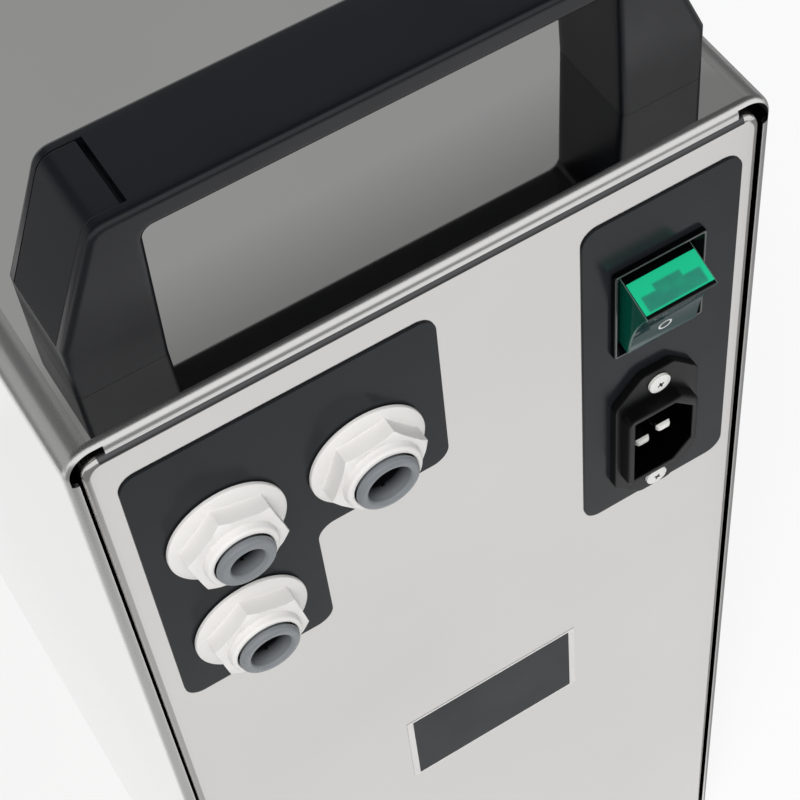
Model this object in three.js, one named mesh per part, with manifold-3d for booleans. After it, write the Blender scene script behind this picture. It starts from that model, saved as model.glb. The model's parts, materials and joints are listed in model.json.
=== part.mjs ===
// An under-counter water carbonator: a tall, narrow stainless case with a carrying handle. Its
// connection panel has three push-fit pipe fittings, a rocker switch and a mains inlet. Inside are
// a carbonation tank, a rotary vane pump with its motor, and the pipes between them.
// Millimetres. Z is up from the feet, the connection panel faces -Y, X runs to its right.
import * as THREE from "three";
import { mergeVertices } from "three/addons/utils/BufferGeometryUtils.js";
import Module from "manifold-3d";

// Clearances and tolerances
const seatGap = 0.25; // between pieces that rest on each other
const foilGap = 0.05; // under a glued foil
const slidingGap = 0.35; // round a collet, a pin or a rocker
const overrun = 1.5; // how far a cutter runs past the face that it cuts
const weldDistance = 0.0004; // vertices nearer than this are one

// Facets of round shapes
const ringSides = 16;
const smallSides = 10;
const cornerSteps = 3;
const smallSteps = 2;
const tankSides = 22;
const pipeSides = 8;

// The case: one bent sheet over the left, top and right, closed by two drawn panels
const cover = {
  width: 170,
  height: 365,
  depth: 320,
  sheet: 1,
  topRadius: 7,
  baseRadius: 5,
  foldRadius: 1.6,
  topReturn: 3.3,
  sideReturn: 2.1,
  notchDrop: 8.9,
  notchWidth: 5,
  lipWidth: 34,
};
const panel = {
  sideGap: 1.5,
  topGap: 0.5,
  sheet: 1,
  cornerRadius: 5,
  edgeRadius: 2.6,
  returnDepth: 14,
};
const basePan = { sheet: 1.2, wall: 18, bendRadius: 3 };
const vent = { count: 6, length: 90, height: 4, pitch: 11, firstHeight: 48 };

// Rubber feet and the screws that hold them, the cover's lips and the base pan together
const foot = {
  height: 12,
  topRadius: 13,
  soleRadius: 11,
  soleBevel: 1,
  recessRadius: 5.6,
  recessDepth: 6,
  inset: 20,
};
const footScrew = { radius: 2.4, headRadius: 4.4, headHeight: 3.2, reach: 5 };

// The moulded carrying handle, with a snap-in cap over the screw in each shoulder
const handle = {
  sideInset: 10,
  depth: 25,
  setback: 12,
  height: 43.5,
  shoulderHeight: 14.8,
  shoulderRun: 12.2,
  barThickness: 6.5,
  legFoot: 20.7,
  legTop: 21.8,
  openingRadius: 4,
  crownRadius: 5,
  chamfer: 2.6,
  capBorder: 3.4,
  capGap: 0.3,
  capDepth: 4.5,
  prySlot: 1.3,
  capLength: 20,
  grooveDepth: 1.6,
};
const handleScrew = { radius: 2.9, headRadius: 4.8, headHeight: 4.5, headPlace: 10, inset: 10.5 };
const backingBar = { thickness: 3, width: 20, overhang: 9 };

// Foil labels, as drops below the cover's top
const label = { thickness: 0.45, cornerRadius: 4.6, top: 14 };
const portLabel = { outerMargin: 19.4, innerMargin: 20.3, stepMargin: 19.2 };
const powerLabel = { leftMargin: 19.6, rightMargin: 22.4, lowMargin: 28.5 };
const badge = { width: 50, height: 30, thickness: 0.8, place: 4.5, drop: 196 };

// Push-fit bulkhead fittings: two side by side, the third below the outer one
const portLayout = { sideInset: 28.5, drop: 47.6, across: 35, down: 38.8 };
const waterTube = { bore: 5, collet: 8.35, radius: 4.75 };
const gasTube = { bore: 4.1, collet: 7.8, radius: 4 };
const fitting = {
  flangeRadius: 14.4,
  flangeEdge: 0.9,
  flangeHeight: 1.9,
  coneRadius: 12,
  hexCorner: 12.4,
  hexHeight: 6.45,
  hexBevel: 1.2,
  collarRadius: 9.9,
  collarHeight: 9.25,
  collarRound: 0.9,
  threadRadius: 9.2,
  threadEnd: 27,
  endBevel: 1,
  headRecess: 2.2,
  lipLength: 3,
  cavityDepth: 18,
  channelRadius: 3,
  channelLength: 4,
};
const collet = {
  proud: 1.2,
  headHeight: 1.5,
  headRound: 0.5,
  wall: 1.7,
  barbHeight: 0.75,
  barbLength: 4,
  slot: 1.1,
  slotLength: 6.5,
};
const nut = { corner: 14.2, height: 6, flangeRadius: 15, flangeHeight: 1.6 };

// The lit rocker switch
const rocker = {
  shift: 0.3,
  drop: 47.2,
  tilt: 19.5,
  width: 19.4,
  length: 21.6,
  height: 9.9,
  hollow: 1.3,
  edgeRound: 0.5,
  skirt: 3.2,
  pivotDepth: 2.4,
  pinRadius: 1.3,
  pinLength: 1.1,
};
const bezel = {
  width: 24.8,
  height: 30.3,
  proud: 2.1,
  edge: 0.7,
  rim: 1.5,
  bodyInset: 1.6,
  bodyDepth: 24,
  floor: 3,
  latch: 1.4,
};
const tab = { width: 6.3, thickness: 0.8, length: 9 };

// The mains inlet, with its long side upright and the earth pin to the right
const inlet = {
  sideInset: 30.1,
  drop: 99.2,
  mouthWidth: 16.8,
  mouthHeight: 24,
  mouthBevel: 5.2,
  wall: 1.9,
  proud: 5.9,
  cavityDepth: 17,
  floor: 3,
  flangeProud: 2.3,
  flangeWidth: 24,
  flangeHeight: 50,
  sideHeight: 34,
  tipWidth: 9,
  tipRound: 3.5,
  edge: 0.5,
  screwPitch: 40,
};
const pin = {
  width: 4,
  thickness: 2,
  earthShift: 2,
  lineShift: -2,
  lineSpread: 7,
  earthTip: 3.6,
  lineTip: 0.7,
};
const inletScrew = {
  radius: 1.5,
  headRadius: 2.9,
  headHeight: 1.8,
  headBevel: 0.7,
  length: 9,
};

// Works inside the case
const tank = {
  wallRoom: 9,
  boardRoom: 31,
  farRoom: 6,
  motorRoom: 12,
  lift: 6,
  headRoom: 105.5,
  wall: 2,
  dome: 22,
  shoulder: 8,
  bossRadius: 9,
  bossHeight: 11,
  bossRing: 26,
  weldProud: 1.2,
  weldHeight: 3,
};
const tankStand = { wall: 2.5, height: 40 };
const probe = { radius: 3, reach: 150, hexCorner: 11, hexHeight: 7, capRadius: 7, capHeight: 14 };
const relief = { radius: 7, height: 20, ringRadius: 9.5, ringHeight: 2.5, ringLift: 24 };
const motor = {
  y: 96,
  lift: 62,
  radius: 42,
  wallRoom: 13,
  bellRadius: 33,
  bellLength: 7,
  bore: 6.4,
  endRadius: 40,
  endLength: 14,
};
const shaft = { radius: 6, proud: 4, tongue: 4, tongueLength: 7 };
const pump = {
  wallRoom: 7,
  radius: 25,
  length: 45,
  motorGap: 2,
  cavityRadius: 15,
  coverLength: 8,
  neckRadius: 8,
  neckLength: 13,
  neckGap: 2.4,
  portRadius: 8,
  portReach: 34,
  portBore: 5,
  portPlace: 22,
  portAngle: 40,
};
const vane = { rotorRadius: 14, slot: 2, slotDepth: 5, count: 4 };
const clamp = { radius: 29, width: 8, gap: 5, lug: 9, lugWidth: 16 };
const cradle = { width: 70, wall: 18, sheet: 3, saddleWrap: 22 };
const valve = { radius: 9, length: 40, neckRadius: 7, neckLength: 8 };
const pipe = { insertion: 10, bendRadius: 14, topRun: 34, fall: 30 };
const waterValve = { wallRoom: 13, motorRoom: 12, lift: 155.5 };
const gasValve = { lead: 65 };
const board = { wallRoom: 19, footRoom: 14, thickness: 1.6, lift: 51.5, height: 130, width: 96 };
const boardPart = { transformer: 24, relay: 15, capRadius: 8, margin: 12, spread: 40 };
const bracket = { sheet: 1.5, foot: 11, postWidth: 10 };

// Places that follow from the sizes above
const caseBase = foot.height;
const caseTop = caseBase + cover.height;
const halfWidth = cover.width / 2;
const fromTop = (drop) => caseTop - drop;
const panFloor = caseBase + cover.sheet + seatGap;
const panTop = panFloor + basePan.sheet;
const handleSpan = cover.width - 2 * handle.sideInset;
const handleScrewPlace = handleSpan / 2 - handleScrew.inset;
const labelFace = foilGap + label.thickness;
const portFace = labelFace + seatGap;
const outerPort = portLayout.sideInset - halfWidth;
const innerPort = outerPort + portLayout.across;
const lowerDrop = portLayout.drop + portLayout.down;
const soda = { name: "soda", x: innerPort, drop: portLayout.drop, hexTurn: 8, ...waterTube };
const gas = { name: "gas", x: outerPort, drop: portLayout.drop, hexTurn: 44, ...gasTube };
const water = { name: "water", x: outerPort, drop: lowerDrop, hexTurn: 40, ...waterTube };
const ports = [soda, gas, water];
const inletX = halfWidth - inlet.sideInset;
const rockerX = inletX + rocker.shift;

const wasm = await Module();
wasm.setup();

// Materials
const finish = (color, roughness, metalness) =>
  new THREE.MeshStandardMaterial({ color, roughness, metalness });
const brushedSteel = finish(0xd2d0cc, 0.32, 1);
const polishedSteel = finish(0xb9b9ba, 0.2, 1);
const zincSteel = finish(0xaeb0b2, 0.35, 1);
const blackPlastic = finish(0x232427, 0.45, 0);
const foil = finish(0x35373a, 0.5, 0);
const whitePlastic = finish(0xeceae6, 0.4, 0);
const greyPlastic = finish(0x8d979b, 0.4, 0);
const greenPlastic = finish(0x1fb487, 0.25, 0);
const rubber = finish(0x1c1c1d, 0.8, 0);
const nickel = finish(0xd5d6d4, 0.25, 1);
const brass = finish(0xb9954f, 0.35, 1);
const motorPaint = finish(0x3b4046, 0.5, 0.3);
const boardGreen = finish(0x2d6b45, 0.6, 0);
const bluePipe = finish(0x6f93b3, 0.45, 0);

// A closed geometry as a solid: vertices merged, flat triangles dropped, faces turned outwards
function solidOf(geometry) {
  const source = geometry.index ? geometry.toNonIndexed() : geometry;
  const bare = new THREE.BufferGeometry();
  bare.setAttribute("position", source.getAttribute("position"));
  const merged = mergeVertices(bare, weldDistance);
  const corners = merged.index.array;
  const kept = [];
  for (let i = 0; i < corners.length; i += 3) {
    const [a, b, c] = corners.slice(i, i + 3);
    if (a !== b && b !== c && c !== a) kept.push(a, b, c);
  }
  const made = (order) =>
    new wasm.Manifold(
      new wasm.Mesh({
        numProp: 3,
        vertProperties: merged.attributes.position.array,
        triVerts: new Uint32Array(order),
      }),
    );
  const solid = made(kept);
  return solid.volume() > 0 ? solid : made(kept.reverse());
}

const joined = (solids) => solids.reduce((all, next) => all.add(next));
const without = (body, cutters) => cutters.reduce((left, cutter) => left.subtract(cutter), body);

function block(xLow, xHigh, yLow, yHigh, zLow, zHigh) {
  const box = new THREE.BoxGeometry(xHigh - xLow, yHigh - yLow, zHigh - zLow);
  return solidOf(box.translate((xLow + xHigh) / 2, (yLow + yHigh) / 2, (zLow + zHigh) / 2));
}

// A round bar along an axis, from one place on it to another; at holds its other two places
function bar(axis, radius, low, high, at, sides = ringSides) {
  const rod = new THREE.CylinderGeometry(radius, radius, high - low, sides);
  rod.translate(0, (low + high) / 2, 0);
  if (axis === "x") rod.rotateZ(-Math.PI / 2).translate(0, at[0], at[1]);
  if (axis === "y") rod.translate(at[0], 0, at[1]);
  if (axis === "z") rod.rotateX(Math.PI / 2).translate(at[0], at[1], 0);
  return solidOf(rod);
}

// A turned piece: points are [radius, place along the axis]
function turned(axis, points, at, sides = ringSides) {
  const closed = [...points, points[0]].map(([r, h]) => new THREE.Vector2(r, h));
  const lathe = new THREE.LatheGeometry(closed, sides);
  if (axis === "x") lathe.rotateZ(-Math.PI / 2).translate(0, at[0], at[1]);
  if (axis === "y") lathe.translate(at[0], 0, at[1]);
  if (axis === "z") lathe.rotateX(Math.PI / 2).translate(at[0], at[1], 0);
  return solidOf(lathe);
}

// A flat outline, points [x, z], pushed along Y; holes are outlines too
function plate(points, yLow, yHigh, holes = []) {
  const shape = new THREE.Shape(points.map(([x, z]) => new THREE.Vector2(x, z)));
  holes.forEach((hole) => {
    shape.holes.push(new THREE.Path(hole.map(([x, z]) => new THREE.Vector2(x, z))));
  });
  const pushed = new THREE.ExtrudeGeometry(shape, { depth: yHigh - yLow, bevelEnabled: false });
  return solidOf(pushed.rotateX(Math.PI / 2).translate(0, yHigh, 0));
}

// An outline, points [y, z], pushed along X
function section(points, xLow, xHigh) {
  const shape = new THREE.Shape(points.map(([y, z]) => new THREE.Vector2(y, z)));
  const pushed = new THREE.ExtrudeGeometry(shape, { depth: xHigh - xLow, bevelEnabled: false });
  pushed.rotateX(Math.PI / 2).rotateZ(Math.PI / 2);
  return solidOf(pushed.translate(xLow, 0, 0));
}

// A polygon whose corners are rounded; each corner is [x, z, radius]
function rounded(corners, steps = cornerSteps) {
  const points = [];
  corners.forEach(([x, z, radius], i) => {
    const before = corners[(i + corners.length - 1) % corners.length];
    const after = corners[(i + 1) % corners.length];
    const here = new THREE.Vector2(x, z);
    if (!radius) {
      points.push([x, z]);
      return;
    }
    const back = new THREE.Vector2(before[0], before[1]).sub(here).normalize();
    const ahead = new THREE.Vector2(after[0], after[1]).sub(here).normalize();
    const half = Math.acos(back.dot(ahead)) / 2;
    const middle = back.clone().add(ahead).normalize();
    const centre = here.clone().addScaledVector(middle, radius / Math.sin(half));
    const start = here.clone().addScaledVector(back, radius / Math.tan(half)).sub(centre);
    const sweep = Math.PI - 2 * half;
    const turn = Math.sign(back.cross(ahead)) * -1;
    for (let k = 0; k <= steps; k++) {
      const spoke = start.clone().rotateAround(new THREE.Vector2(), (turn * sweep * k) / steps);
      points.push([centre.x + spoke.x, centre.y + spoke.y]);
    }
  });
  return points;
}

const rectangle = (x, z, width, height, radius) => [
  [x - width / 2, z - height / 2, radius],
  [x + width / 2, z - height / 2, radius],
  [x + width / 2, z + height / 2, radius],
  [x - width / 2, z + height / 2, radius],
];

// Stations along an outline: each point with the vector that leads one unit inside it
function stations(points, closed) {
  return points.map(([x, z], i) => {
    const last = points.length - 1;
    const before = points[closed ? (i + last) % points.length : Math.max(i - 1, 0)];
    const after = points[closed ? (i + 1) % points.length : Math.min(i + 1, last)];
    const here = new THREE.Vector2(x, z);
    const come = here.clone().sub(new THREE.Vector2(before[0], before[1])).normalize();
    const go = new THREE.Vector2(after[0], after[1]).sub(here).normalize();
    if (!come.length()) come.copy(go);
    if (!go.length()) go.copy(come);
    const along = come.clone().add(go).normalize();
    const reach = 1 / along.dot(come);
    return { x, z, inX: -along.y * reach, inZ: along.x * reach };
  });
}

// A closed profile, points [inset, y], carried along stations; ends are capped unless it closes
function carried(path, profile, closed) {
  const place = ({ x, z, inX, inZ }, [inset, y]) => [x + inX * inset, y, z + inZ * inset];
  const rings = path.map((station) => profile.map((point) => place(station, point)));
  const triangles = [];
  const spans = closed ? rings.length : rings.length - 1;
  for (let i = 0; i < spans; i++) {
    const one = rings[i];
    const two = rings[(i + 1) % rings.length];
    profile.forEach((_, k) => {
      const next = (k + 1) % profile.length;
      triangles.push(one[k], two[k], two[next], one[k], two[next], one[next]);
    });
  }
  if (!closed) {
    const flat = profile.map(([inset, y]) => new THREE.Vector2(inset, y));
    const turnsLeft = !THREE.ShapeUtils.isClockWise(flat);
    THREE.ShapeUtils.triangulateShape(turnsLeft ? flat : flat.reverse(), []).forEach((face) => {
      const [a, b, c] = face.map((k) => (turnsLeft ? k : profile.length - 1 - k));
      const order = turnsLeft ? [a, b, c] : [c, b, a];
      order.forEach((k) => triangles.push(rings[0][k]));
      [...order].reverse().forEach((k) => triangles.push(rings[rings.length - 1][k]));
    });
  }
  const geometry = new THREE.BufferGeometry();
  geometry.setAttribute("position", new THREE.Float32BufferAttribute(triangles.flat(), 3));
  return solidOf(geometry);
}

// Quarter of a circle as [inset, y] points, from one angle to another
function arc(centreIn, centreY, radius, from, to, steps = cornerSteps) {
  return Array.from({ length: steps + 1 }, (_, k) => {
    const angle = from + ((to - from) * k) / steps;
    return [centreIn + radius * Math.cos(angle), centreY + radius * Math.sin(angle)];
  });
}

// A pipe through points in straight runs, with a bend at each point between
function pipeAlong(points, radius) {
  const spots = points.map((point) => new THREE.Vector3(...point));
  const path = [spots[0]];
  spots.slice(1, -1).forEach((spot, i) => {
    const back = spots[i].clone().sub(spot);
    const ahead = spots[i + 2].clone().sub(spot);
    const trim = Math.min(pipe.bendRadius, back.length() / 2, ahead.length() / 2);
    const from = spot.clone().addScaledVector(back.normalize(), trim);
    const to = spot.clone().addScaledVector(ahead.normalize(), trim);
    path.push(...new THREE.QuadraticBezierCurve3(from, spot, to).getPoints(cornerSteps));
  });
  path.push(spots[spots.length - 1]);
  const last = path.length - 1;
  const direction = (i) => path[Math.min(i + 1, last)].clone().sub(path[Math.max(i - 1, 0)]);
  const heading = direction(0).normalize();
  const side = new THREE.Vector3(-heading.y, heading.z, heading.x).cross(heading).normalize();
  const rings = path.map((centre, i) => {
    const turn = new THREE.Quaternion().setFromUnitVectors(heading, direction(i).normalize());
    side.applyQuaternion(turn);
    heading.applyQuaternion(turn);
    return Array.from({ length: pipeSides }, (_, k) => side.clone()
      .applyAxisAngle(heading, (2 * Math.PI * k) / pipeSides)
      .multiplyScalar(radius)
      .add(centre)
      .toArray());
  });
  const triangles = [];
  rings.slice(1).forEach((two, i) => rings[i].forEach((_, k) => {
    const one = rings[i];
    const next = (k + 1) % pipeSides;
    triangles.push(one[k], one[next], two[next], one[k], two[next], two[k]);
  }));
  for (let k = 1; k < pipeSides - 1; k++) {
    triangles.push(rings[0][0], rings[0][k + 1], rings[0][k]);
    triangles.push(rings[last][0], rings[last][k], rings[last][k + 1]);
  }
  const geometry = new THREE.BufferGeometry();
  geometry.setAttribute("position", new THREE.Float32BufferAttribute(triangles.flat(), 3));
  return solidOf(geometry);
}

// A hexagonal prism along Y whose outer corners are turned down
function hexAlongY(corner, low, high, bevel, at, turn) {
  const hex = new THREE.CylinderGeometry(corner, corner, high - low, 6);
  hex.rotateY(Math.PI / 2 - THREE.MathUtils.degToRad(turn)).translate(at[0], (low + high) / 2, at[1]);
  const turnedDown = turned(
    "y",
    [
      [0, low],
      [corner - bevel, low],
      [corner, low + bevel / 2],
      [corner, high],
      [0, high],
    ],
    at,
  );
  return solidOf(hex).intersect(turnedDown);
}

const part = new THREE.Group();
function add(name, solid, material) {
  const { vertProperties, triVerts } = solid.getMesh();
  const geometry = new THREE.BufferGeometry();
  geometry.setAttribute("position", new THREE.BufferAttribute(vertProperties, 3));
  geometry.setIndex(new THREE.BufferAttribute(triVerts, 1));
  geometry.computeVertexNormals();
  const mesh = new THREE.Mesh(geometry, material);
  mesh.name = name;
  part.add(mesh);
}

// The holes that the panel and its labels share
const portHole = (port) => bar(
  "y",
  fitting.threadRadius + slidingGap,
  -portFace - overrun,
  panel.sheet + overrun,
  [port.x, fromTop(port.drop)],
);
const bezelBody = {
  width: bezel.width - 2 * bezel.bodyInset,
  height: bezel.height - 2 * bezel.bodyInset,
};
const inletOuter = {
  width: inlet.mouthWidth + 2 * inlet.wall,
  height: inlet.mouthHeight + 2 * inlet.wall,
};
function panelHoles() {
  const low = -labelFace - overrun;
  const high = panel.sheet + overrun;
  const switchHole = rectangle(
    rockerX,
    fromTop(rocker.drop),
    bezelBody.width + 2 * slidingGap,
    bezelBody.height + 2 * slidingGap,
    0,
  );
  const inletHole = rectangle(
    inletX,
    fromTop(inlet.drop),
    inletOuter.width + 2 * slidingGap,
    inletOuter.height + 2 * slidingGap,
    0,
  );
  return [
    ...ports.map(portHole),
    plate(rounded(switchHole), low, high),
    plate(rounded(inletHole), low, high),
    ...[-1, 1].map((side) => bar(
      "y",
      inletScrew.radius + slidingGap,
      low,
      high,
      [inletX, fromTop(inlet.drop) + (side * inlet.screwPitch) / 2],
      smallSides,
    )),
  ];
}

// Cover: the sheet runs from the left lip up, over and down to the right lip
function makeCover() {
  const lipEnd = halfWidth - cover.lipWidth;
  const outline = rounded([
    [lipEnd, caseBase, 0],
    [halfWidth, caseBase, cover.baseRadius],
    [halfWidth, caseTop, cover.topRadius],
    [-halfWidth, caseTop, cover.topRadius],
    [-halfWidth, caseBase, cover.baseRadius],
    [-lipEnd, caseBase, 0],
  ]);
  const { sheet, foldRadius, topReturn, depth } = cover;
  const inner = foldRadius - sheet;
  const quarter = Math.PI / 2;
  const front = [
    [topReturn, sheet],
    [topReturn, 0],
    ...arc(foldRadius, foldRadius, foldRadius, -quarter, -2 * quarter),
  ];
  const frontInside = arc(foldRadius, foldRadius, inner, -2 * quarter, -quarter, smallSteps);
  const mirrored = (points) => points.map(([inset, y]) => [inset, depth - y]).reverse();
  const profile = [...front, ...mirrored(front), ...mirrored(frontInside), ...frontInside];
  const shell = carried(stations(outline, false), profile, false);
  const inside = halfWidth - sheet;
  const skinFree = rounded([
    [-inside, caseBase + sheet, 0],
    [inside, caseBase + sheet, 0],
    [inside, caseTop - sheet, cover.topRadius - sheet],
    [-inside, caseTop - sheet, cover.topRadius - sheet],
  ]);
  const cuts = [[-overrun, foldRadius], [depth - foldRadius, depth + overrun]].flatMap((ends) => {
    const space = plate(skinFree, ...ends);
    return [-1, 1].map((side) => {
      const boxFrom = (x, zLow, zHigh) => {
        const [low, high] = side > 0 ? [x, halfWidth] : [-halfWidth, -x];
        return block(low, high, ...ends, zLow, zHigh);
      };
      const notch = boxFrom(halfWidth - cover.notchWidth, fromTop(cover.notchDrop), caseTop);
      const lip = boxFrom(lipEnd - overrun, caseBase, caseBase + cover.baseRadius);
      const flange = boxFrom(halfWidth - cover.sideReturn, caseBase, fromTop(cover.notchDrop));
      const strip = boxFrom(halfWidth - topReturn - overrun, caseBase, fromTop(cover.notchDrop));
      return joined([notch, lip, strip.subtract(flange)]).intersect(space);
    });
  });
  const screwHoles = footPlaces.map((at) => bar(
    "z",
    footScrew.radius + slidingGap,
    caseBase - overrun,
    caseBase + cover.sheet + overrun,
    at,
    smallSides,
  ));
  const handleHoles = [-1, 1].map((side) => bar(
    "z",
    handleScrew.radius + slidingGap,
    caseTop - cover.sheet - overrun,
    caseTop + overrun,
    [side * handleScrewPlace, handle.setback + handle.depth / 2],
    smallSides,
  ));
  return without(shell, [...cuts, ...screwHoles, ...handleHoles]);
}
const footPlaces = [
  [-halfWidth + foot.inset, foot.inset],
  [halfWidth - foot.inset, foot.inset],
  [-halfWidth + foot.inset, cover.depth - foot.inset],
  [halfWidth - foot.inset, cover.depth - foot.inset],
];
add("outer_cover", makeCover(), brushedSteel);

// A drawn panel: a flat face at Y 0 whose four edges roll back into a flange
const panelHalf = halfWidth - cover.sideReturn - panel.sideGap;
const panelTop = fromTop(cover.topReturn + panel.topGap);
const panelBottom = panTop + seatGap;
function drawnPanel() {
  const outline = rounded([
    [-panelHalf, panelBottom, panel.cornerRadius],
    [panelHalf, panelBottom, panel.cornerRadius],
    [panelHalf, panelTop, panel.cornerRadius],
    [-panelHalf, panelTop, panel.cornerRadius],
  ]);
  const { edgeRadius, sheet, returnDepth, cornerRadius } = panel;
  const quarter = Math.PI / 2;
  const rim = [
    [cornerRadius, 0],
    ...arc(edgeRadius, edgeRadius, edgeRadius, -quarter, -2 * quarter),
    [0, returnDepth],
    [sheet, returnDepth],
    ...arc(edgeRadius, edgeRadius, edgeRadius - sheet, -2 * quarter, -quarter, smallSteps),
    [cornerRadius, sheet],
  ];
  const inset = cornerRadius - overrun;
  const face = rounded([
    [-panelHalf + inset, panelBottom + inset, overrun],
    [panelHalf - inset, panelBottom + inset, overrun],
    [panelHalf - inset, panelTop - inset, overrun],
    [-panelHalf + inset, panelTop - inset, overrun],
  ]);
  return carried(stations(outline, true), rim, true).add(plate(face, 0, sheet));
}
add("connection_panel", without(drawnPanel(), panelHoles()), brushedSteel);

// The far panel is the same pressing, with rows of vent slots in place of the fittings
function farPanel() {
  const slots = Array.from({ length: vent.count }, (_, row) => {
    const z = caseBase + vent.firstHeight + row * vent.pitch;
    const slot = rectangle(0, z, vent.length, vent.height, vent.height / 2 - foilGap);
    return plate(rounded(slot, smallSteps), -overrun, panel.sheet + overrun);
  });
  return without(drawnPanel(), slots).rotate([0, 0, 180]).translate([0, cover.depth, 0]);
}
add("front_panel", farPanel(), brushedSteel);

// Base pan: a tray with upturned sides, resting on the cover's lips
function makeBasePan() {
  const outer = halfWidth - cover.sheet - seatGap;
  const outline = rounded([
    [outer, panFloor + basePan.wall, 0],
    [outer, panFloor, basePan.bendRadius + cover.baseRadius],
    [-outer, panFloor, basePan.bendRadius + cover.baseRadius],
    [-outer, panFloor + basePan.wall, 0],
  ].reverse());
  const ends = [cover.foldRadius + seatGap, cover.depth - cover.foldRadius - seatGap];
  const strip = [
    [0, ends[0]],
    [0, ends[1]],
    [basePan.sheet, ends[1]],
    [basePan.sheet, ends[0]],
  ];
  const holes = footPlaces.map((at) => bar(
    "z",
    footScrew.radius + slidingGap,
    panFloor - overrun,
    panTop + overrun,
    at,
    smallSides,
  ));
  const corners = [-1, 1].flatMap((side) => ends.map((end, k) => {
    const depth = panel.returnDepth + seatGap;
    const [yLow, yHigh] = k ? [end - depth, end + overrun] : [end - overrun, end + depth];
    const xs = [side * panelHalf - side * seatGap, side * (outer + overrun)];
    return block(
      Math.min(...xs),
      Math.max(...xs),
      yLow,
      yHigh,
      panTop,
      panFloor + basePan.wall + overrun,
    );
  }));
  return without(carried(stations(outline, false), strip, false), [...holes, ...corners]);
}
add("base_pan", makeBasePan(), zincSteel);

// Feet and their screws
const cornerNames = ["rear_left", "rear_right", "front_left", "front_right"];
footPlaces.forEach((at, i) => {
  const { recessRadius, recessDepth, soleRadius, soleBevel } = foot;
  const hole = footScrew.radius + slidingGap;
  const rubberRing = turned("z", [
    [recessRadius, 0],
    [soleRadius - soleBevel, 0],
    [soleRadius, soleBevel],
    [foot.topRadius, foot.height - seatGap],
    [hole, foot.height - seatGap],
    [hole, recessDepth],
    [recessRadius, recessDepth],
  ], at, smallSides);
  add("foot_" + cornerNames[i], rubberRing, rubber);
  const head = recessDepth - seatGap;
  const screw = turned("z", [
    [0, head - footScrew.headHeight],
    [footScrew.headRadius, head - footScrew.headHeight],
    [footScrew.headRadius, head],
    [footScrew.radius, head],
    [footScrew.radius, panTop + footScrew.reach],
    [0, panTop + footScrew.reach],
  ], at, smallSides);
  add("foot_screw_" + cornerNames[i], screw, zincSteel);
});

// Handle: an arch pushed along Y, with its outer edges bevelled and a pocket in each shoulder
const handleFoot = caseTop + seatGap;
const handleTop = caseTop + handle.height;
const handleNear = handle.setback;
const handleFar = handle.setback + handle.depth;
const handleMiddle = (handleNear + handleFar) / 2;
const shoulderOuter = [handleSpan / 2, caseTop + handle.shoulderHeight];
const shoulderInner = [handleSpan / 2 - handle.shoulderRun, handleTop];
// The pocket's outline in a shoulder, seen along Y; grow widens it past the handle's skin
function shoulderPocket(side, border, grow) {
  const out = new THREE.Vector2(
    shoulderInner[1] - shoulderOuter[1],
    shoulderOuter[0] - shoulderInner[0],
  ).normalize();
  const [ox, oz] = shoulderOuter;
  const [ix, iz] = shoulderInner;
  const depth = handle.capDepth - border;
  const groove = handleSpan / 2 - handle.capLength + border;
  return [
    [groove, iz + grow],
    [groove, iz - depth],
    [ix - out.x * depth, iz - depth],
    [ox - out.x * depth, oz - out.y * depth + border],
    [ox + out.x * grow, oz + out.y * grow + border],
    [ix + out.x * grow, iz + grow],
  ].map(([x, z]) => [side * x, z]);
}
const pocketPlate = (side, border, grow, margin) => {
  const points = shoulderPocket(side, border, grow);
  return plate(side > 0 ? points : points.reverse(), handleNear + margin, handleFar - margin);
};
function makeHandle() {
  const inside = caseTop + handle.height - handle.barThickness;
  const outline = rounded([
    [handleSpan / 2, handleFoot, 0],
    [...shoulderOuter, 0],
    [...shoulderInner, handle.crownRadius],
    [-shoulderInner[0], shoulderInner[1], handle.crownRadius],
    [-shoulderOuter[0], shoulderOuter[1], 0],
    [-handleSpan / 2, handleFoot, 0],
    [-handleSpan / 2 + handle.legFoot, handleFoot, 0],
    [-handleSpan / 2 + handle.legTop, inside, handle.openingRadius],
    [handleSpan / 2 - handle.legTop, inside, handle.openingRadius],
    [handleSpan / 2 - handle.legFoot, handleFoot, 0],
  ]);
  const arch = plate(outline, handleNear, handleFar);
  const skin = stations(rounded([
    [handleSpan / 2, handleFoot - overrun, 0],
    [...shoulderOuter, 0],
    [...shoulderInner, handle.crownRadius],
    [-shoulderInner[0], shoulderInner[1], handle.crownRadius],
    [-shoulderOuter[0], shoulderOuter[1], 0],
    [-handleSpan / 2, handleFoot - overrun, 0],
  ]), false);
  const bevelled = [[handleNear, -1], [handleFar, 1]].map(([y, outward]) => carried(skin, [
    [-overrun, y + outward * overrun],
    [-overrun, y - outward * (handle.chamfer + overrun)],
    [handle.chamfer + overrun, y + outward * overrun],
  ], false));
  const grooves = [-1, 1].flatMap((side) => {
    const groove = handleSpan / 2 - handle.capLength;
    const xs = [side * (groove + overrun), side * (groove - handle.prySlot)];
    return [
      pocketPlate(side, 0, overrun, handle.capBorder),
      block(
        Math.min(...xs),
        Math.max(...xs),
        handleNear + handle.capBorder,
        handleFar - handle.capBorder,
        handleTop - handle.grooveDepth,
        handleTop + overrun,
      ),
      bar(
        "z",
        handleScrew.radius + slidingGap,
        handleFoot - overrun,
        handleTop,
        [side * handleScrewPlace, handleMiddle],
        smallSides,
      ),
      bar(
        "z",
        handleScrew.headRadius + slidingGap,
        caseTop + handleScrew.headPlace,
        handleTop,
        [side * handleScrewPlace, handleMiddle],
        smallSides,
      ),
    ];
  });
  return without(arch, [...bevelled, ...grooves]);
}
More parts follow.
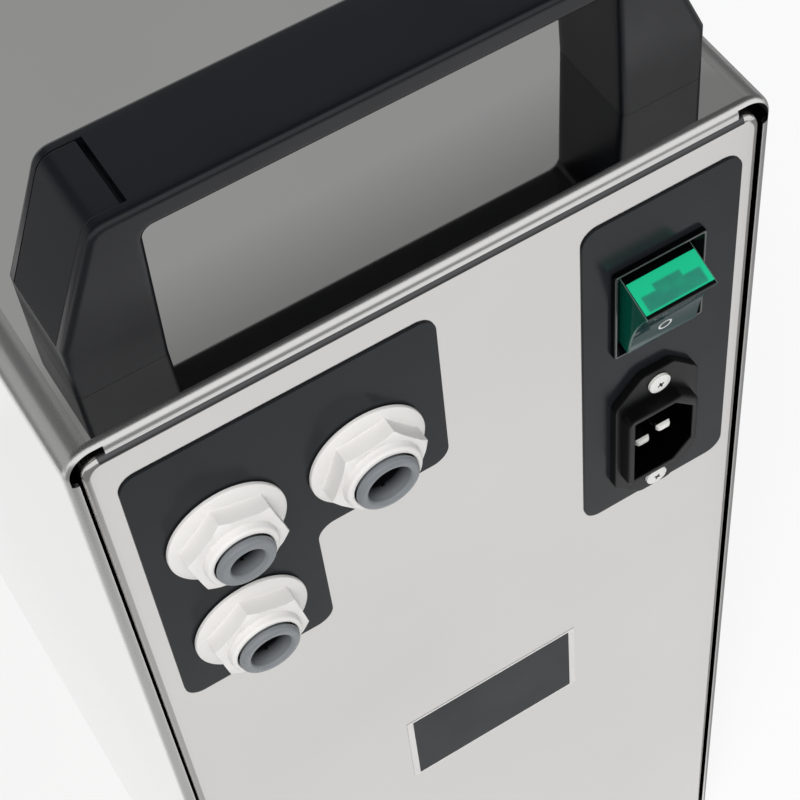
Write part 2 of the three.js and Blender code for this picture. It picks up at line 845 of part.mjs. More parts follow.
add("handle", makeHandle(), blackPlastic);
[["left", -1], ["right", 1]].forEach(([word, side]) => {
  const cap = pocketPlate(side, handle.capGap, 0, handle.capBorder + handle.capGap);
  add("handle_cap_" + word, cap, blackPlastic);
  const at = [side * handleScrewPlace, handleMiddle];
  const head = caseTop + handleScrew.headPlace + seatGap;
  const tip = fromTop(cover.sheet + seatGap + backingBar.thickness);
  const screw = turned("z", [
    [0, tip],
    [handleScrew.radius, tip],
    [handleScrew.radius, head],
    [handleScrew.headRadius, head],
    [handleScrew.headRadius, head + handleScrew.headHeight],
    [0, head + handleScrew.headHeight],
  ], at, smallSides);
  add("handle_screw_" + word, screw, zincSteel);
});

// Backing bar under the cover's top, tapped for the handle screws
function makeBackingBar() {
  const reach = handleScrewPlace + backingBar.overhang;
  const top = fromTop(cover.sheet + seatGap);
  const body = block(
    -reach,
    reach,
    handleMiddle - backingBar.width / 2,
    handleMiddle + backingBar.width / 2,
    top - backingBar.thickness,
    top,
  );
  return without(body, [-1, 1].map((side) => bar(
    "z",
    handleScrew.radius + slidingGap,
    top - backingBar.thickness - overrun,
    top + overrun,
    [side * handleScrewPlace, handleMiddle],
    smallSides,
  )));
}
add("handle_backing_bar", makeBackingBar(), zincSteel);

// Foil labels and the badge plate, glued to the panel
function onPanel(corners, thickness) {
  return plate(rounded(corners), -foilGap - thickness, -foilGap);
}
const round = label.cornerRadius;
const labelLeft = gas.x - portLabel.outerMargin;
const labelRight = soda.x + portLabel.innerMargin;
const labelLow = fromTop(water.drop + portLabel.outerMargin);
const stepX = gas.x + portLabel.innerMargin;
const stepZ = fromTop(soda.drop + portLabel.stepMargin);
const portOutline = [
  [labelLeft, labelLow, round],
  [stepX, labelLow, round],
  [stepX, stepZ, round],
  [labelRight, stepZ, round],
  [labelRight, fromTop(label.top), round],
  [labelLeft, fromTop(label.top), round],
];
const powerLow = fromTop(inlet.drop + powerLabel.lowMargin);
const powerOutline = [
  [inletX - powerLabel.leftMargin, powerLow, round],
  [inletX + powerLabel.rightMargin, powerLow, round],
  [inletX + powerLabel.rightMargin, fromTop(label.top), round],
  [inletX - powerLabel.leftMargin, fromTop(label.top), round],
];
add("port_label", without(onPanel(portOutline, label.thickness), panelHoles()), foil);
add("power_label", without(onPanel(powerOutline, label.thickness), panelHoles()), foil);
const badgeOutline = rectangle(badge.place, fromTop(badge.drop), badge.width, badge.height, 0);
add("badge_plate", onPanel(badgeOutline, badge.thickness), foil);

// A bulkhead fitting: flange, hexagon and collar outside, thread and pipe socket inside, with a
// stepped bore right through it. The lip at its mouth holds the collet's barbed fingers.
function fittingBody(port) {
  const at = [port.x, fromTop(port.drop)];
  const recess = port.collet + slidingGap;
  const mouth = port.bore + collet.wall + slidingGap;
  const cavity = mouth + collet.barbHeight;
  const face = portFace + fitting.collarHeight;
  const lip = fitting.headRecess - face;
  const shoulder = portFace + fitting.flangeHeight;
  const cavityEnd = fitting.cavityDepth - face;
  const socket = port.radius + slidingGap;
  const quarter = Math.PI / 2;
  const collar = arc(
    fitting.collarRadius - fitting.collarRound,
    -face + fitting.collarRound,
    fitting.collarRound,
    -quarter,
    0,
    smallSteps,
  );
  const body = turned("y", [
    [mouth, lip],
    [recess, lip],
    [recess, -face],
    ...collar,
    [fitting.collarRadius, -shoulder],
    [fitting.coneRadius, -shoulder],
    [fitting.flangeRadius, -portFace - fitting.flangeEdge],
    [fitting.flangeRadius, -portFace],
    [fitting.threadRadius, -portFace],
    [fitting.threadRadius, fitting.threadEnd - fitting.endBevel],
    [fitting.threadRadius - fitting.endBevel, fitting.threadEnd],
    [socket, fitting.threadEnd],
    [socket, cavityEnd + fitting.channelLength],
    [fitting.channelRadius, cavityEnd + fitting.channelLength],
    [fitting.channelRadius, cavityEnd],
    [cavity, cavityEnd],
    [cavity, lip + fitting.lipLength],
    [mouth, lip + fitting.lipLength],
  ], at);
  const hex = hexAlongY(
    fitting.hexCorner,
    -portFace - fitting.hexHeight,
    -shoulder + overrun / 2,
    fitting.hexBevel,
    at,
    port.hexTurn,
  );
  const bore = bar("y", (recess + fitting.collarRadius) / 2, -face, 0, at);
  return body.add(hex.subtract(bore));
}

// A collet: a flanged sleeve whose slotted fingers end in barbs behind the fitting's lip
function colletSleeve(port) {
  const at = [port.x, fromTop(port.drop)];
  const face = portFace + fitting.collarHeight;
  const head = face + collet.proud;
  const outer = port.bore + collet.wall;
  const barb = fitting.headRecess + fitting.lipLength + seatGap - face;
  const end = barb + collet.barbLength;
  const { headHeight, headRound, barbHeight } = collet;
  const sleeve = turned("y", [
    [port.bore, -head + headRound],
    [port.bore + headRound, -head],
    [port.collet - headRound, -head],
    [port.collet, -head + headRound],
    [port.collet, -head + headHeight],
    [outer, -head + headHeight],
    [outer, barb],
    [outer + barbHeight - slidingGap / 2, barb],
    [outer - barbHeight / 2, end],
    [port.bore, end],
  ], at);
  const slots = [0, 1].map((k) => {
    const [wide, tall] = k ? [outer + overrun, collet.slot / 2] : [collet.slot / 2, outer + overrun];
    return block(
      at[0] - wide,
      at[0] + wide,
      end - collet.slotLength,
      end + overrun,
      at[1] - tall,
      at[1] + tall,
    );
  });
  return without(sleeve, slots);
}

// A flanged nut that holds a fitting from inside the case
function backNut(port) {
  const at = [port.x, fromTop(port.drop)];
  const face = panel.sheet + seatGap;
  const flange = bar("y", nut.flangeRadius, face, face + nut.flangeHeight, at);
  const hex = hexAlongY(nut.corner, face, face + nut.height, 0, at, 0);
  const hole = fitting.threadRadius + slidingGap;
  return flange.add(hex).subtract(bar("y", hole, face - overrun, face + nut.height + overrun, at));
}
ports.forEach((port) => {
  add(port.name + "_fitting", fittingBody(port), whitePlastic);
  add(port.name + "_nut", backNut(port), whitePlastic);
  add(port.name + "_collet", colletSleeve(port), greyPlastic);
});

// Switch housing: a bezel over the panel and a latched box behind it, open to the front
const rockerZ = fromTop(rocker.drop);
function makeSwitchHousing() {
  const back = labelFace + seatGap / 2;
  const outer = rectangle(rockerX, rockerZ, bezel.width, bezel.height, bezel.edge);
  const lower = plate(rounded(outer, smallSteps), -bezel.proud + bezel.edge, -back);
  const innerFace = rectangle(
    rockerX,
    rockerZ,
    bezel.width - 2 * bezel.edge,
    bezel.height - 2 * bezel.edge,
    0,
  );
  const upper = plate(rounded(innerFace), -bezel.proud, -back);
  const box = rectangle(rockerX, rockerZ, bezelBody.width, bezelBody.height, 0);
  const body = plate(rounded(box), -back - bezel.edge / 2, bezel.bodyDepth);
  const latches = [-1, 1].map((side) => section([
    [panel.sheet + seatGap, rockerZ + (side * bezelBody.height) / 2 + side * bezel.latch],
    [panel.sheet + seatGap, rockerZ + side * (bezelBody.height / 2 - bezel.edge)],
    [bezel.bodyDepth / 2, rockerZ + side * (bezelBody.height / 2 - bezel.edge)],
    [bezel.bodyDepth / 2, rockerZ + (side * bezelBody.height) / 2],
  ], rockerX - bezelBody.width / 4, rockerX + bezelBody.width / 4));
  const well = rectangle(
    rockerX,
    rockerZ,
    rocker.width + 2 * slidingGap,
    bezel.height - 2 * bezel.rim,
    0,
  );
  const hollow = plate(rounded(well), -bezel.proud - overrun, 0);
  const deeper = rectangle(
    rockerX,
    rockerZ,
    rocker.width + 2 * slidingGap,
    bezelBody.height - 2 * bezel.edge,
    0,
  );
  const hollowBehind = plate(rounded(deeper), -overrun, bezel.bodyDepth - bezel.floor);
  const pivots = bar(
    "x",
    rocker.pinRadius + slidingGap / 2,
    rockerX - rocker.width / 2 - rocker.pinLength - slidingGap,
    rockerX + rocker.width / 2 + rocker.pinLength + slidingGap,
    [rocker.pivotDepth, rockerZ],
    smallSides,
  );
  const tabs = tabPlaces.map(([x, z]) => tabBlock(x, z, bezel.bodyDepth, seatGap / 2));
  return without(joined([lower, upper, body, ...latches]), [hollow, hollowBehind, pivots, ...tabs]);
}
const tabPlaces = [-1, 1].map((side) => [rockerX, rockerZ + (side * bezelBody.height) / 4]);
function tabBlock(x, z, wallEnd, grow) {
  return block(
    x - tab.width / 2 - grow,
    x + tab.width / 2 + grow,
    wallEnd - bezel.floor - (grow ? overrun : 0),
    wallEnd + tab.length,
    z - tab.thickness / 2 - grow,
    z + tab.thickness / 2 + grow,
  );
}
add("switch_housing", makeSwitchHousing(), blackPlastic);
["switch_tab_lower", "switch_tab_upper"].forEach((name, i) => {
  add(name, tabBlock(...tabPlaces[i], bezel.bodyDepth, 0), nickel);
});

// Rocker: a hollow-faced key on two stub pins, its lower end pressed in
function makeRocker() {
  const half = rocker.length / 2;
  const steps = 8;
  const front = Array.from({ length: steps + 1 }, (_, k) => {
    const share = (2 * k) / steps - 1;
    const flat = half - rocker.edgeRound;
    return [share * flat, rocker.height - rocker.hollow * (1 - share * share)];
  });
  const outline = [
    [-half, -rocker.skirt],
    [-half, rocker.height - rocker.edgeRound],
    ...front,
    [half, rocker.height - rocker.edgeRound],
    [half, -rocker.skirt],
  ];
  const tilt = THREE.MathUtils.degToRad(rocker.tilt);
  const placed = outline.map(([up, out]) => [
    rocker.pivotDepth - out * Math.cos(tilt) - up * Math.sin(tilt),
    rockerZ + up * Math.cos(tilt) - out * Math.sin(tilt),
  ]);
  const key = section(placed, rockerX - rocker.width / 2, rockerX + rocker.width / 2);
  const pins = bar(
    "x",
    rocker.pinRadius,
    rockerX - rocker.width / 2 - rocker.pinLength,
    rockerX + rocker.width / 2 + rocker.pinLength,
    [rocker.pivotDepth, rockerZ],
    smallSides,
  );
  return key.add(pins);
}
add("switch_rocker", makeRocker(), greenPlastic);

// Mains inlet: flange, raised rim and a deep mouth whose two right corners are cut off
const inletZ = fromTop(inlet.drop);
function mouthOutline(grow, radius) {
  const right = inletX + inlet.mouthWidth / 2 + grow;
  const left = inletX - inlet.mouthWidth / 2 - grow;
  const top = inletZ + inlet.mouthHeight / 2 + grow;
  const bottom = inletZ - inlet.mouthHeight / 2 - grow;
  return rounded([
    [left, bottom, radius],
    [right - inlet.mouthBevel, bottom, 0],
    [right, bottom + inlet.mouthBevel, 0],
    [right, top - inlet.mouthBevel, 0],
    [right - inlet.mouthBevel, top, 0],
    [left, top, radius],
  ], smallSteps);
}
function flangeOutline(shrink) {
  const half = inlet.flangeWidth / 2 - shrink;
  const side = inlet.sideHeight / 2;
  const tip = inlet.flangeHeight / 2 - shrink;
  const tipHalf = inlet.tipWidth / 2;
  return rounded([
    [inletX - half, inletZ - side, inlet.tipRound],
    [inletX - tipHalf, inletZ - tip, inlet.tipRound],
    [inletX + tipHalf, inletZ - tip, inlet.tipRound],
    [inletX + half, inletZ - side, inlet.tipRound],
    [inletX + half, inletZ + side, inlet.tipRound],
    [inletX + tipHalf, inletZ + tip, inlet.tipRound],
    [inletX - tipHalf, inletZ + tip, inlet.tipRound],
    [inletX - half, inletZ + side, inlet.tipRound],
  ], smallSteps);
}
const inletEnd = inlet.cavityDepth - inlet.proud + inlet.floor;
const pins = [
  { name: "line", x: pin.lineShift, z: pin.lineSpread, tip: pin.lineTip },
  { name: "neutral", x: pin.lineShift, z: -pin.lineSpread, tip: pin.lineTip },
  { name: "earth", x: pin.earthShift, z: 0, tip: pin.earthTip },
];
function pinBlade({ x, z, tip }, grow) {
  const [px, pz] = [inletX + x, inletZ + z];
  return block(
    px - pin.width / 2 - grow,
    px + pin.width / 2 + grow,
    -tip,
    inletEnd + tab.length,
    pz - pin.thickness / 2 - grow,
    pz + pin.thickness / 2 + grow,
  );
}
function makeInlet() {
  const back = labelFace + seatGap / 2;
  const flange = plate(flangeOutline(0), -inlet.flangeProud + inlet.edge, -back)
    .add(plate(flangeOutline(inlet.edge), -inlet.flangeProud, -back));
  const rim = plate(mouthOutline(inlet.wall - inlet.edge, inlet.edge), -inlet.proud, -back)
    .add(plate(mouthOutline(inlet.wall, inlet.wall), -inlet.proud + inlet.edge, -back));
  const box = plate(mouthOutline(inlet.wall, 0), -back - inlet.edge, inletEnd);
  const mouth = plate(
    mouthOutline(0, inlet.edge),
    -inlet.proud - overrun,
    inlet.cavityDepth - inlet.proud,
  );
  const screws = [-1, 1].map((side) => bar(
    "y",
    inletScrew.radius + slidingGap,
    -inlet.flangeProud - overrun,
    overrun,
    [inletX, inletZ + (side * inlet.screwPitch) / 2],
    smallSides,
  ));
  const slots = pins.map((blade) => pinBlade(blade, seatGap / 2));
  return without(joined([flange, rim, box]), [mouth, ...screws, ...slots]);
}
add("inlet_socket", makeInlet(), blackPlastic);
pins.forEach((blade) => add("inlet_pin_" + blade.name, pinBlade(blade, 0), nickel));
[["upper", 1], ["lower", -1]].forEach(([word, side]) => {
  const at = [inletX, inletZ + (side * inlet.screwPitch) / 2];
  const seat = inlet.flangeProud + seatGap / 2;
  const { radius, headRadius, headHeight, headBevel } = inletScrew;
  const screw = turned("y", [
    [0, -seat - headHeight],
    [headRadius - headBevel, -seat - headHeight],
    [headRadius, -seat - headHeight + headBevel],
    [headRadius, -seat],
    [radius, -seat],
    [radius, inletScrew.length - seat],
    [0, inletScrew.length - seat],
  ], at, smallSides);
  add("inlet_screw_" + word, screw, nickel);
});

// Carbonation tank: a domed steel bottle with welded seams and five ports on its crown
const tankLow = panTop + tank.lift;
const tankTop = caseTop - cover.sheet - tank.headRoom;
const shellHeight = tankTop - tankLow - 2 * tank.dome;
const tankMiddle = (tankLow + tankTop) / 2;
const bossTop = tankTop + tank.bossHeight;
const widthForCup = cover.width - 2 * cover.sheet - tank.wallRoom - tank.boardRoom;
const panelInside = cover.depth - panel.returnDepth;
const depthForCup = panelInside - tank.farRoom - tank.motorRoom - motor.y - motor.radius;
const cupRadius = Math.min(widthForCup, depthForCup) / 2;
const weldRadius = cupRadius - tankStand.wall - seatGap;
const bottleRadius = weldRadius - tank.weldProud;
const tankX = -halfWidth + cover.sheet + tank.wallRoom + cupRadius;
const tankY = panelInside - tank.farRoom - cupRadius;
const bossCircle = bottleRadius - tank.bossRing;
const bosses = [
  { name: "soda", angle: 250 },
  { name: "gas", angle: 180 },
  { name: "water", angle: 115 },
  { name: "relief", angle: 20 },
].map(({ name, angle }) => {
  const turn = THREE.MathUtils.degToRad(angle);
  return {
    name,
    at: [tankX + bossCircle * Math.cos(turn), tankY + bossCircle * Math.sin(turn)],
  };
});
const bossAt = (name) => bosses.find((boss) => boss.name === name).at;
// Half the bottle's outline, as [radius, height over its middle]
const crownOutline = [
  [weldRadius, shellHeight / 2 - tank.weldHeight],
  [weldRadius, shellHeight / 2],
  [bottleRadius, shellHeight / 2],
  [bottleRadius - tank.shoulder / 4, shellHeight / 2 + tank.dome / 3],
  [bottleRadius - tank.shoulder, shellHeight / 2 + tank.dome / 2],
  [bottleRadius / 2, shellHeight / 2 + tank.dome - tank.shoulder / 4],
  [0, shellHeight / 2 + tank.dome],
];
function makeTank() {
  const at = [tankX, tankY];
  const upper = [[bottleRadius, shellHeight / 2 - tank.weldHeight], ...crownOutline];
  const lower = upper.map(([r, h]) => [r, -h]).reverse();
  const outline = [...lower, ...upper].map(([r, h]) => [r, tankMiddle + h]);
  const bottle = turned("z", outline, at, tankSides);
  const { dome } = tank;
  const boss = (place) => bar("z", tank.bossRadius, tankTop - dome, bossTop, place, smallSides);
  const bore = (place, r) => bar("z", r, tankTop - dome, bossTop + overrun, place, smallSides);
  const spots = bosses.map(({ at: place }) => place);
  const solid = joined([bottle, boss(at), ...spots.map(boss)]);
  const holes = spots.map((place) => bore(place, waterTube.radius + slidingGap));
  const inside = [...crownOutline.slice(2, -1).map(([r, h]) => [r - tank.wall, h - tank.wall])];
  const crownInside = [...inside, [0, shellHeight / 2 + dome - tank.wall]];
  const floorInside = crownInside.map(([r, h]) => [r, -h]).reverse();
  const hollow = turned(
    "z",
    [...floorInside, ...crownInside].map(([r, h]) => [r, tankMiddle + h]),
    at,
    tankSides,
  );
  const deep = bar(
    "z",
    probe.radius + slidingGap,
    tankTop - dome,
    bossTop + overrun,
    at,
    smallSides,
  );
  return without(solid, [hollow, ...holes, deep]);
}
add("carbonation_tank", makeTank(), polishedSteel);

// The moulded cup that the bottle's lower end stands in
function makeTankStand() {
  const low = panTop + seatGap;
  const inner = cupRadius - tankStand.wall;
  const [, , [, shellEnd], ...dome] = crownOutline.slice(0, -1);
  return turned("z", [
    [bottleRadius / 2, low],
    [cupRadius, low],
    [cupRadius, low + tankStand.height],
    [inner, low + tankStand.height],
    [inner, tankMiddle - shellEnd - seatGap],
    ...dome.map(([r, h]) => [r, tankMiddle - h - seatGap]),
  ], [tankX, tankY], tankSides);
}
add("tank_stand", makeTankStand(), blackPlastic);

// Level probe and relief valve on the crown
const hexAlongZ = (corner, low, high, at) => bar("z", corner, low, high, at, 6);
const probeSeat = bossTop + seatGap;
const crown = [tankX, tankY];
add("level_probe", joined([
  bar("z", probe.radius, bossTop - probe.reach, probeSeat + overrun, crown, smallSides),
  hexAlongZ(probe.hexCorner, probeSeat, probeSeat + probe.hexHeight, crown),
  bar("z", probe.capRadius, probeSeat, probeSeat + probe.hexHeight + probe.capHeight, crown),
]), blackPlastic);
const reliefAt = bossAt("relief");
add("relief_valve", joined([
  bar("z", waterTube.radius, bossTop - tank.bossHeight, probeSeat + overrun, reliefAt, smallSides),
  hexAlongZ(tank.bossRadius, probeSeat, probeSeat + probe.hexHeight, reliefAt),
  bar("z", relief.radius, probeSeat, probeSeat + relief.height, reliefAt, smallSides),
  bar(
    "z",
    relief.ringRadius,
    probeSeat + relief.height - relief.ringHeight,
    probeSeat + relief.height,
    reliefAt,
    smallSides,
  ),
]), brass);

// Motor: a rolled shell between two end bells, with the shaft running right through it
const motorZ = panTop + motor.lift;
const axis = [motor.y, motorZ];
const pumpLeft = -halfWidth + pump.wallRoom;
const pumpRight = pumpLeft + pump.length;
const motorLeft = pumpRight + pump.motorGap + motor.bellLength;
const motorRight = halfWidth - motor.wallRoom;
function makeMotor() {
  const { radius, bellRadius, bellLength, endRadius, endLength } = motor;
  const [left, right] = [motorLeft, motorRight];
  const shell = turned("x", [
    [0, left - bellLength],
    [bellRadius, left - bellLength],
    [bellRadius, left],
    [endRadius, left],
    [endRadius, left + endLength],
    [radius, left + endLength],
    [radius, right - endLength],
    [endRadius, right - endLength],
    [endRadius, right - bellLength],
    [bellRadius, right],
    [0, right],
  ], axis, tankSides);
  const bore = bar("x", motor.bore, left - bellLength - overrun, right + overrun, axis, smallSides);
  return shell.subtract(bore);
}
add("motor_body", makeMotor(), motorPaint);

// Shaft: its flat tongue drives the slot of the pump's rotor
const turningGap = motor.bore - shaft.radius;
const rotorRight = pumpRight - pump.neckLength;
const neckEnd = pumpRight - pump.neckGap;
const tongueStart = neckEnd + turningGap - shaft.tongueLength;
const tongueEnd = neckEnd + turningGap;
const shaftRight = motorRight + shaft.proud;
add("motor_shaft", bar("x", shaft.radius, tongueEnd, shaftRight, axis, smallSides).add(block(
  tongueStart,
  tongueEnd + overrun,
  motor.y - shaft.radius + turningGap,
  motor.y + shaft.radius - turningGap,
  motorZ - shaft.tongue / 2,
  motorZ + shaft.tongue / 2,
)), zincSteel);

// Pump rotor: a drum with vane slots, and a slotted neck that takes the shaft's tongue
function makePumpRotor() {
  const left = pumpLeft + pump.coverLength + turningGap;
  const right = rotorRight;
  const neck = bar("x", shaft.radius, right - overrun, neckEnd, axis, smallSides);
  const drum = bar("x", vane.rotorRadius, left, right, axis);
  const slots = Array.from({ length: vane.count }, (_, k) => {
    const slot = new THREE.BoxGeometry(right - left + 2 * overrun, vane.slot, vane.slotDepth * 2);
    slot.translate((left + right) / 2, 0, vane.rotorRadius);
    slot.rotateX((2 * Math.PI * k) / vane.count + Math.PI / 4);
    return solidOf(slot.translate(0, ...axis));
  });
  const mortise = block(
    tongueStart - turningGap,
    tongueEnd + overrun,
    motor.y - shaft.radius - overrun,
    motor.y + shaft.radius + overrun,
    motorZ - shaft.tongue / 2 - turningGap,
    motorZ + shaft.tongue / 2 + turningGap,
  );
  return without(drum.add(neck), [...slots, mortise]);
}
add("pump_rotor", makePumpRotor(), polishedSteel);

// Pump body: a brass cup round the rotor with an inlet and an outlet branch
const branchTurn = THREE.MathUtils.degToRad(pump.portAngle);
const branchX = pumpLeft + pump.portPlace;
const branchEnd = (side) => [
  branchX,
  motor.y + side * pump.portReach * Math.sin(branchTurn),
  motorZ + pump.portReach * Math.cos(branchTurn),
];
function branch(side, radius, low, high) {
  const rod = new THREE.CylinderGeometry(radius, radius, high - low, smallSides);
  rod.translate(0, (low + high) / 2, 0).rotateX(Math.PI / 2);
  return solidOf(rod.rotateX(-side * branchTurn).translate(branchX, ...axis));
}
function makePumpBody() {
  const { radius, cavityRadius, neckRadius } = pump;
  const [left, right] = [pumpLeft, pumpRight];
  const cavityStart = pumpLeft + pump.coverLength;
  const cavityEnd = rotorRight + turningGap;
  const cup = turned("x", [
    [0, left],
    [radius - overrun, left],
    [radius, left + overrun],
    [radius, right],
    [neckRadius, right],
    [neckRadius, cavityEnd],
    [cavityRadius, cavityEnd],
    [cavityRadius, cavityStart],
    [0, cavityStart],
  ], axis, tankSides);
  const sides = [-1, 1];
  const branches = sides.map((side) => branch(
    side,
    pump.portRadius,
    cavityRadius + overrun,
    pump.portReach,
  ));
  const bores = sides.map((side) => branch(
    side,
    pump.portBore,
    cavityRadius - overrun,
    pump.portReach + overrun,
  ));
  return without(joined([cup, ...branches]), bores);
}
add("pump_body", makePumpBody(), brass);

// Band clamp that pulls the pump on to the motor's bell
function makeClamp() {
  const bell = motorLeft - motor.bellLength;
  const middle = (pumpRight + bell) / 2;
  const [low, high] = [middle - clamp.width / 2, middle + clamp.width / 2];
  const bellGrip = motor.bellRadius + seatGap;
  const pumpGrip = pump.radius + seatGap;
  const outer = bellGrip + clamp.radius - pump.radius;
  const band = turned("x", [
    [pumpGrip, low - clamp.width / 2],
    [pumpGrip + clamp.radius - pump.radius, low - clamp.width / 2],
    [outer, bell - seatGap],
    [outer, high + clamp.width / 2],
    [bellGrip, high + clamp.width / 2],
    [bellGrip, bell - seatGap],
    [pumpGrip, bell - seatGap],
  ], axis, tankSides);
  const lug = block(
    low - clamp.width / 2,
    high,
    motor.y - clamp.lugWidth / 2,
    motor.y + clamp.lugWidth / 2,
    motorZ - outer - clamp.lug,
    motorZ - pumpGrip - seatGap,
  );
  const bores = [
    bar("x", bellGrip, bell - seatGap, high + clamp.width, axis, tankSides),
    bar("x", pumpGrip, low - clamp.width, bell, axis, tankSides),
  ];
  const split = block(
    low - clamp.width,
    high + clamp.width,
    motor.y - clamp.gap / 2,
    motor.y + clamp.gap / 2,
    motorZ - outer - clamp.lug - overrun,
    motorZ,
  );
  return without(band.add(lug), [...bores, split]);
}
add("pump_clamp", makeClamp(), polishedSteel);

// Cradle: two saddle plates on a foot plate, under the motor
function makeCradle() {
  const low = panTop + seatGap;
  const grip = motor.radius + seatGap;
  const top = motorZ - grip + cradle.saddleWrap;
  const half = cradle.width / 2;
  const [left, right] = [motorLeft + cradle.wall, motorRight - cradle.wall];
  const base = block(left, right, motor.y - half, motor.y + half, low, low + cradle.sheet);
  const walls = [[left, left + cradle.sheet], [right - cradle.sheet, right]];
  const saddles = walls.map(([a, b]) => block(a, b, motor.y - half, motor.y + half, low, top));
  return joined([base, ...saddles]).subtract(bar(
    "x",
    grip,
    left - overrun,
    right + overrun,
    axis,
    tankSides,
  ));
}
add("motor_cradle", makeCradle(), zincSteel);

// An in-line check valve, its ends necked for the pipes
function checkValve(along, low, at, bore) {
  const high = low + valve.length;
  const hole = bore + slidingGap;
  const { radius, neckRadius, neckLength } = valve;
  return turned(along, [
    [hole, low],
    [neckRadius, low],
    [neckRadius, low + neckLength],
    [radius, low + neckLength],
    [radius, high - neckLength],
    [neckRadius, high - neckLength],
    [neckRadius, high],
    [hole, high],
  ], at, smallSides);
}
const risers = {
  x: -halfWidth + waterValve.wallRoom,
  y: motor.y + motor.radius + waterValve.motorRoom,
  low: panTop + waterValve.lift,
  high: panTop + waterValve.lift + valve.length,
};
add("water_check_valve", checkValve(
  "z",
  risers.low,
  [risers.x, risers.y],
  waterTube.radius,
), brass);
const gasZ = fromTop(gas.drop);
const gasValveY = fitting.threadEnd + gasValve.lead;
add("gas_check_valve", checkValve("y", gasValveY, [gas.x, gasZ], gas.radius), brass);

// Pipes: each starts and ends inside a socket
const rise = pipe.insertion;
const portEnd = (port, inside) => [port.x, fitting.threadEnd + inside, fromTop(port.drop)];
const intoBoss = (name) => [...bossAt(name), bossTop - rise];
add("soda_pipe", pipeAlong([
  portEnd(soda, -rise),
  [soda.x, (fitting.threadEnd + bossAt("soda")[1]) / 2, fromTop(soda.drop)],
  [...bossAt("soda"), fromTop(soda.drop)],
  intoBoss("soda"),
], soda.radius), bluePipe);
const inletBranch = branchEnd(-1);
const outletBranch = branchEnd(1);
// A place on a branch's axis, out past its end or, if out is negative, inside it
const onBranch = ([x, y, z], side, out) => [
  x,
  y + side * out * Math.sin(branchTurn),
  z + out * Math.cos(branchTurn),
];
add("supply_pipe", pipeAlong([
  portEnd(water, -rise),
  portEnd(water, pipe.fall),
  [water.x, fitting.threadEnd + pipe.fall, fromTop(water.drop) - pipe.fall],
  onBranch(inletBranch, -1, pipe.fall),
  onBranch(inletBranch, -1, -rise),
], pump.portBore - slidingGap), bluePipe);
add("pump_pipe", pipeAlong([
  onBranch(outletBranch, 1, -rise),
  onBranch(outletBranch, 1, rise),
  [risers.x, risers.y, risers.low - pipe.fall],
  [risers.x, risers.y, risers.low + rise],
], waterTube.radius), bluePipe);
const topRun = caseTop - pipe.topRun;
add("feed_pipe", pipeAlong([
  [risers.x, risers.y, risers.high - rise],
  [risers.x, risers.y, topRun],
  [...bossAt("water"), topRun],
  intoBoss("water"),
], waterTube.radius), bluePipe);
add("gas_pipe", pipeAlong([
  portEnd(gas, -rise),
  [gas.x, gasValveY + rise, gasZ],
], gas.radius), bluePipe);
add("gas_feed_pipe", pipeAlong([
  [gas.x, gasValveY + valve.length - rise, gasZ],
  [gas.x, gasValveY + valve.length + pipe.fall, gasZ],
  [...bossAt("gas"), gasZ],
  intoBoss("gas"),
], gas.radius), bluePipe);

// Control board on its bracket beside the tank
const boardX = halfWidth - board.wallRoom;
const boardFar = cover.depth - foot.inset - board.footRoom;
const boardNear = boardFar - board.width;
const [boardLow, boardHigh] = [panTop + board.lift, panTop + board.lift + board.height];
function makeBoard() {
  const face = boardX - board.thickness;
  const { transformer, relay, capRadius, margin, spread } = boardPart;
  const card = block(face, boardX, boardNear, boardFar, boardLow, boardHigh);
  const near = boardNear + margin;
  const low = boardLow + margin;
  const onBoard = (size, width, y, z, height) => block(
    face - size / 2,
    face + foilGap,
    y,
    y + width,
    z,
    z + height,
  );
  return joined([
    card,
    onBoard(transformer, transformer, near, low, transformer),
    onBoard(relay, relay, near + spread, low, 2 * relay),
    onBoard(relay, relay, near + spread, low + spread, relay),
    bar(
      "x",
      capRadius,
      face - transformer / 2,
      face + foilGap,
      [near + margin, low + spread + margin],
      smallSides,
    ),
  ]);
}
add("control_board", makeBoard(), boardGreen);
function makeBracket() {
  const low = panTop + seatGap;
  const near = boardX + seatGap;
  const far = near + bracket.sheet;
  const wall = block(near, far, boardNear, boardFar, low, boardHigh);
  const shelf = block(near - bracket.foot, far, boardNear, boardFar, low, low + bracket.sheet);
  const windowCut = block(
    near - overrun,
    far + overrun,
    boardNear + bracket.postWidth,
    boardFar - bracket.postWidth,
    boardLow,
    boardHigh - bracket.postWidth,
  );
  return wall.add(shelf).subtract(windowCut);
}
add("board_bracket", makeBracket(), zincSteel);

// The fittings stand out of the panel, so the part's middle lies this far in front of the case's
const reach = portFace + fitting.collarHeight + collet.proud;
part.position.set(0, -(cover.depth - reach) / 2, 0);

export default part;
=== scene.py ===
# A free-standing water carbonator: a tall, narrow steel case under a moulded carrying handle. One
# end panel has three push-fit pipe fittings, a lit rocker switch and a mains inlet.
import json
import math

import bmesh
import bpy
import numpy as np
from mathutils import Matrix, Vector
from mathutils.geometry import tessellate_polygon


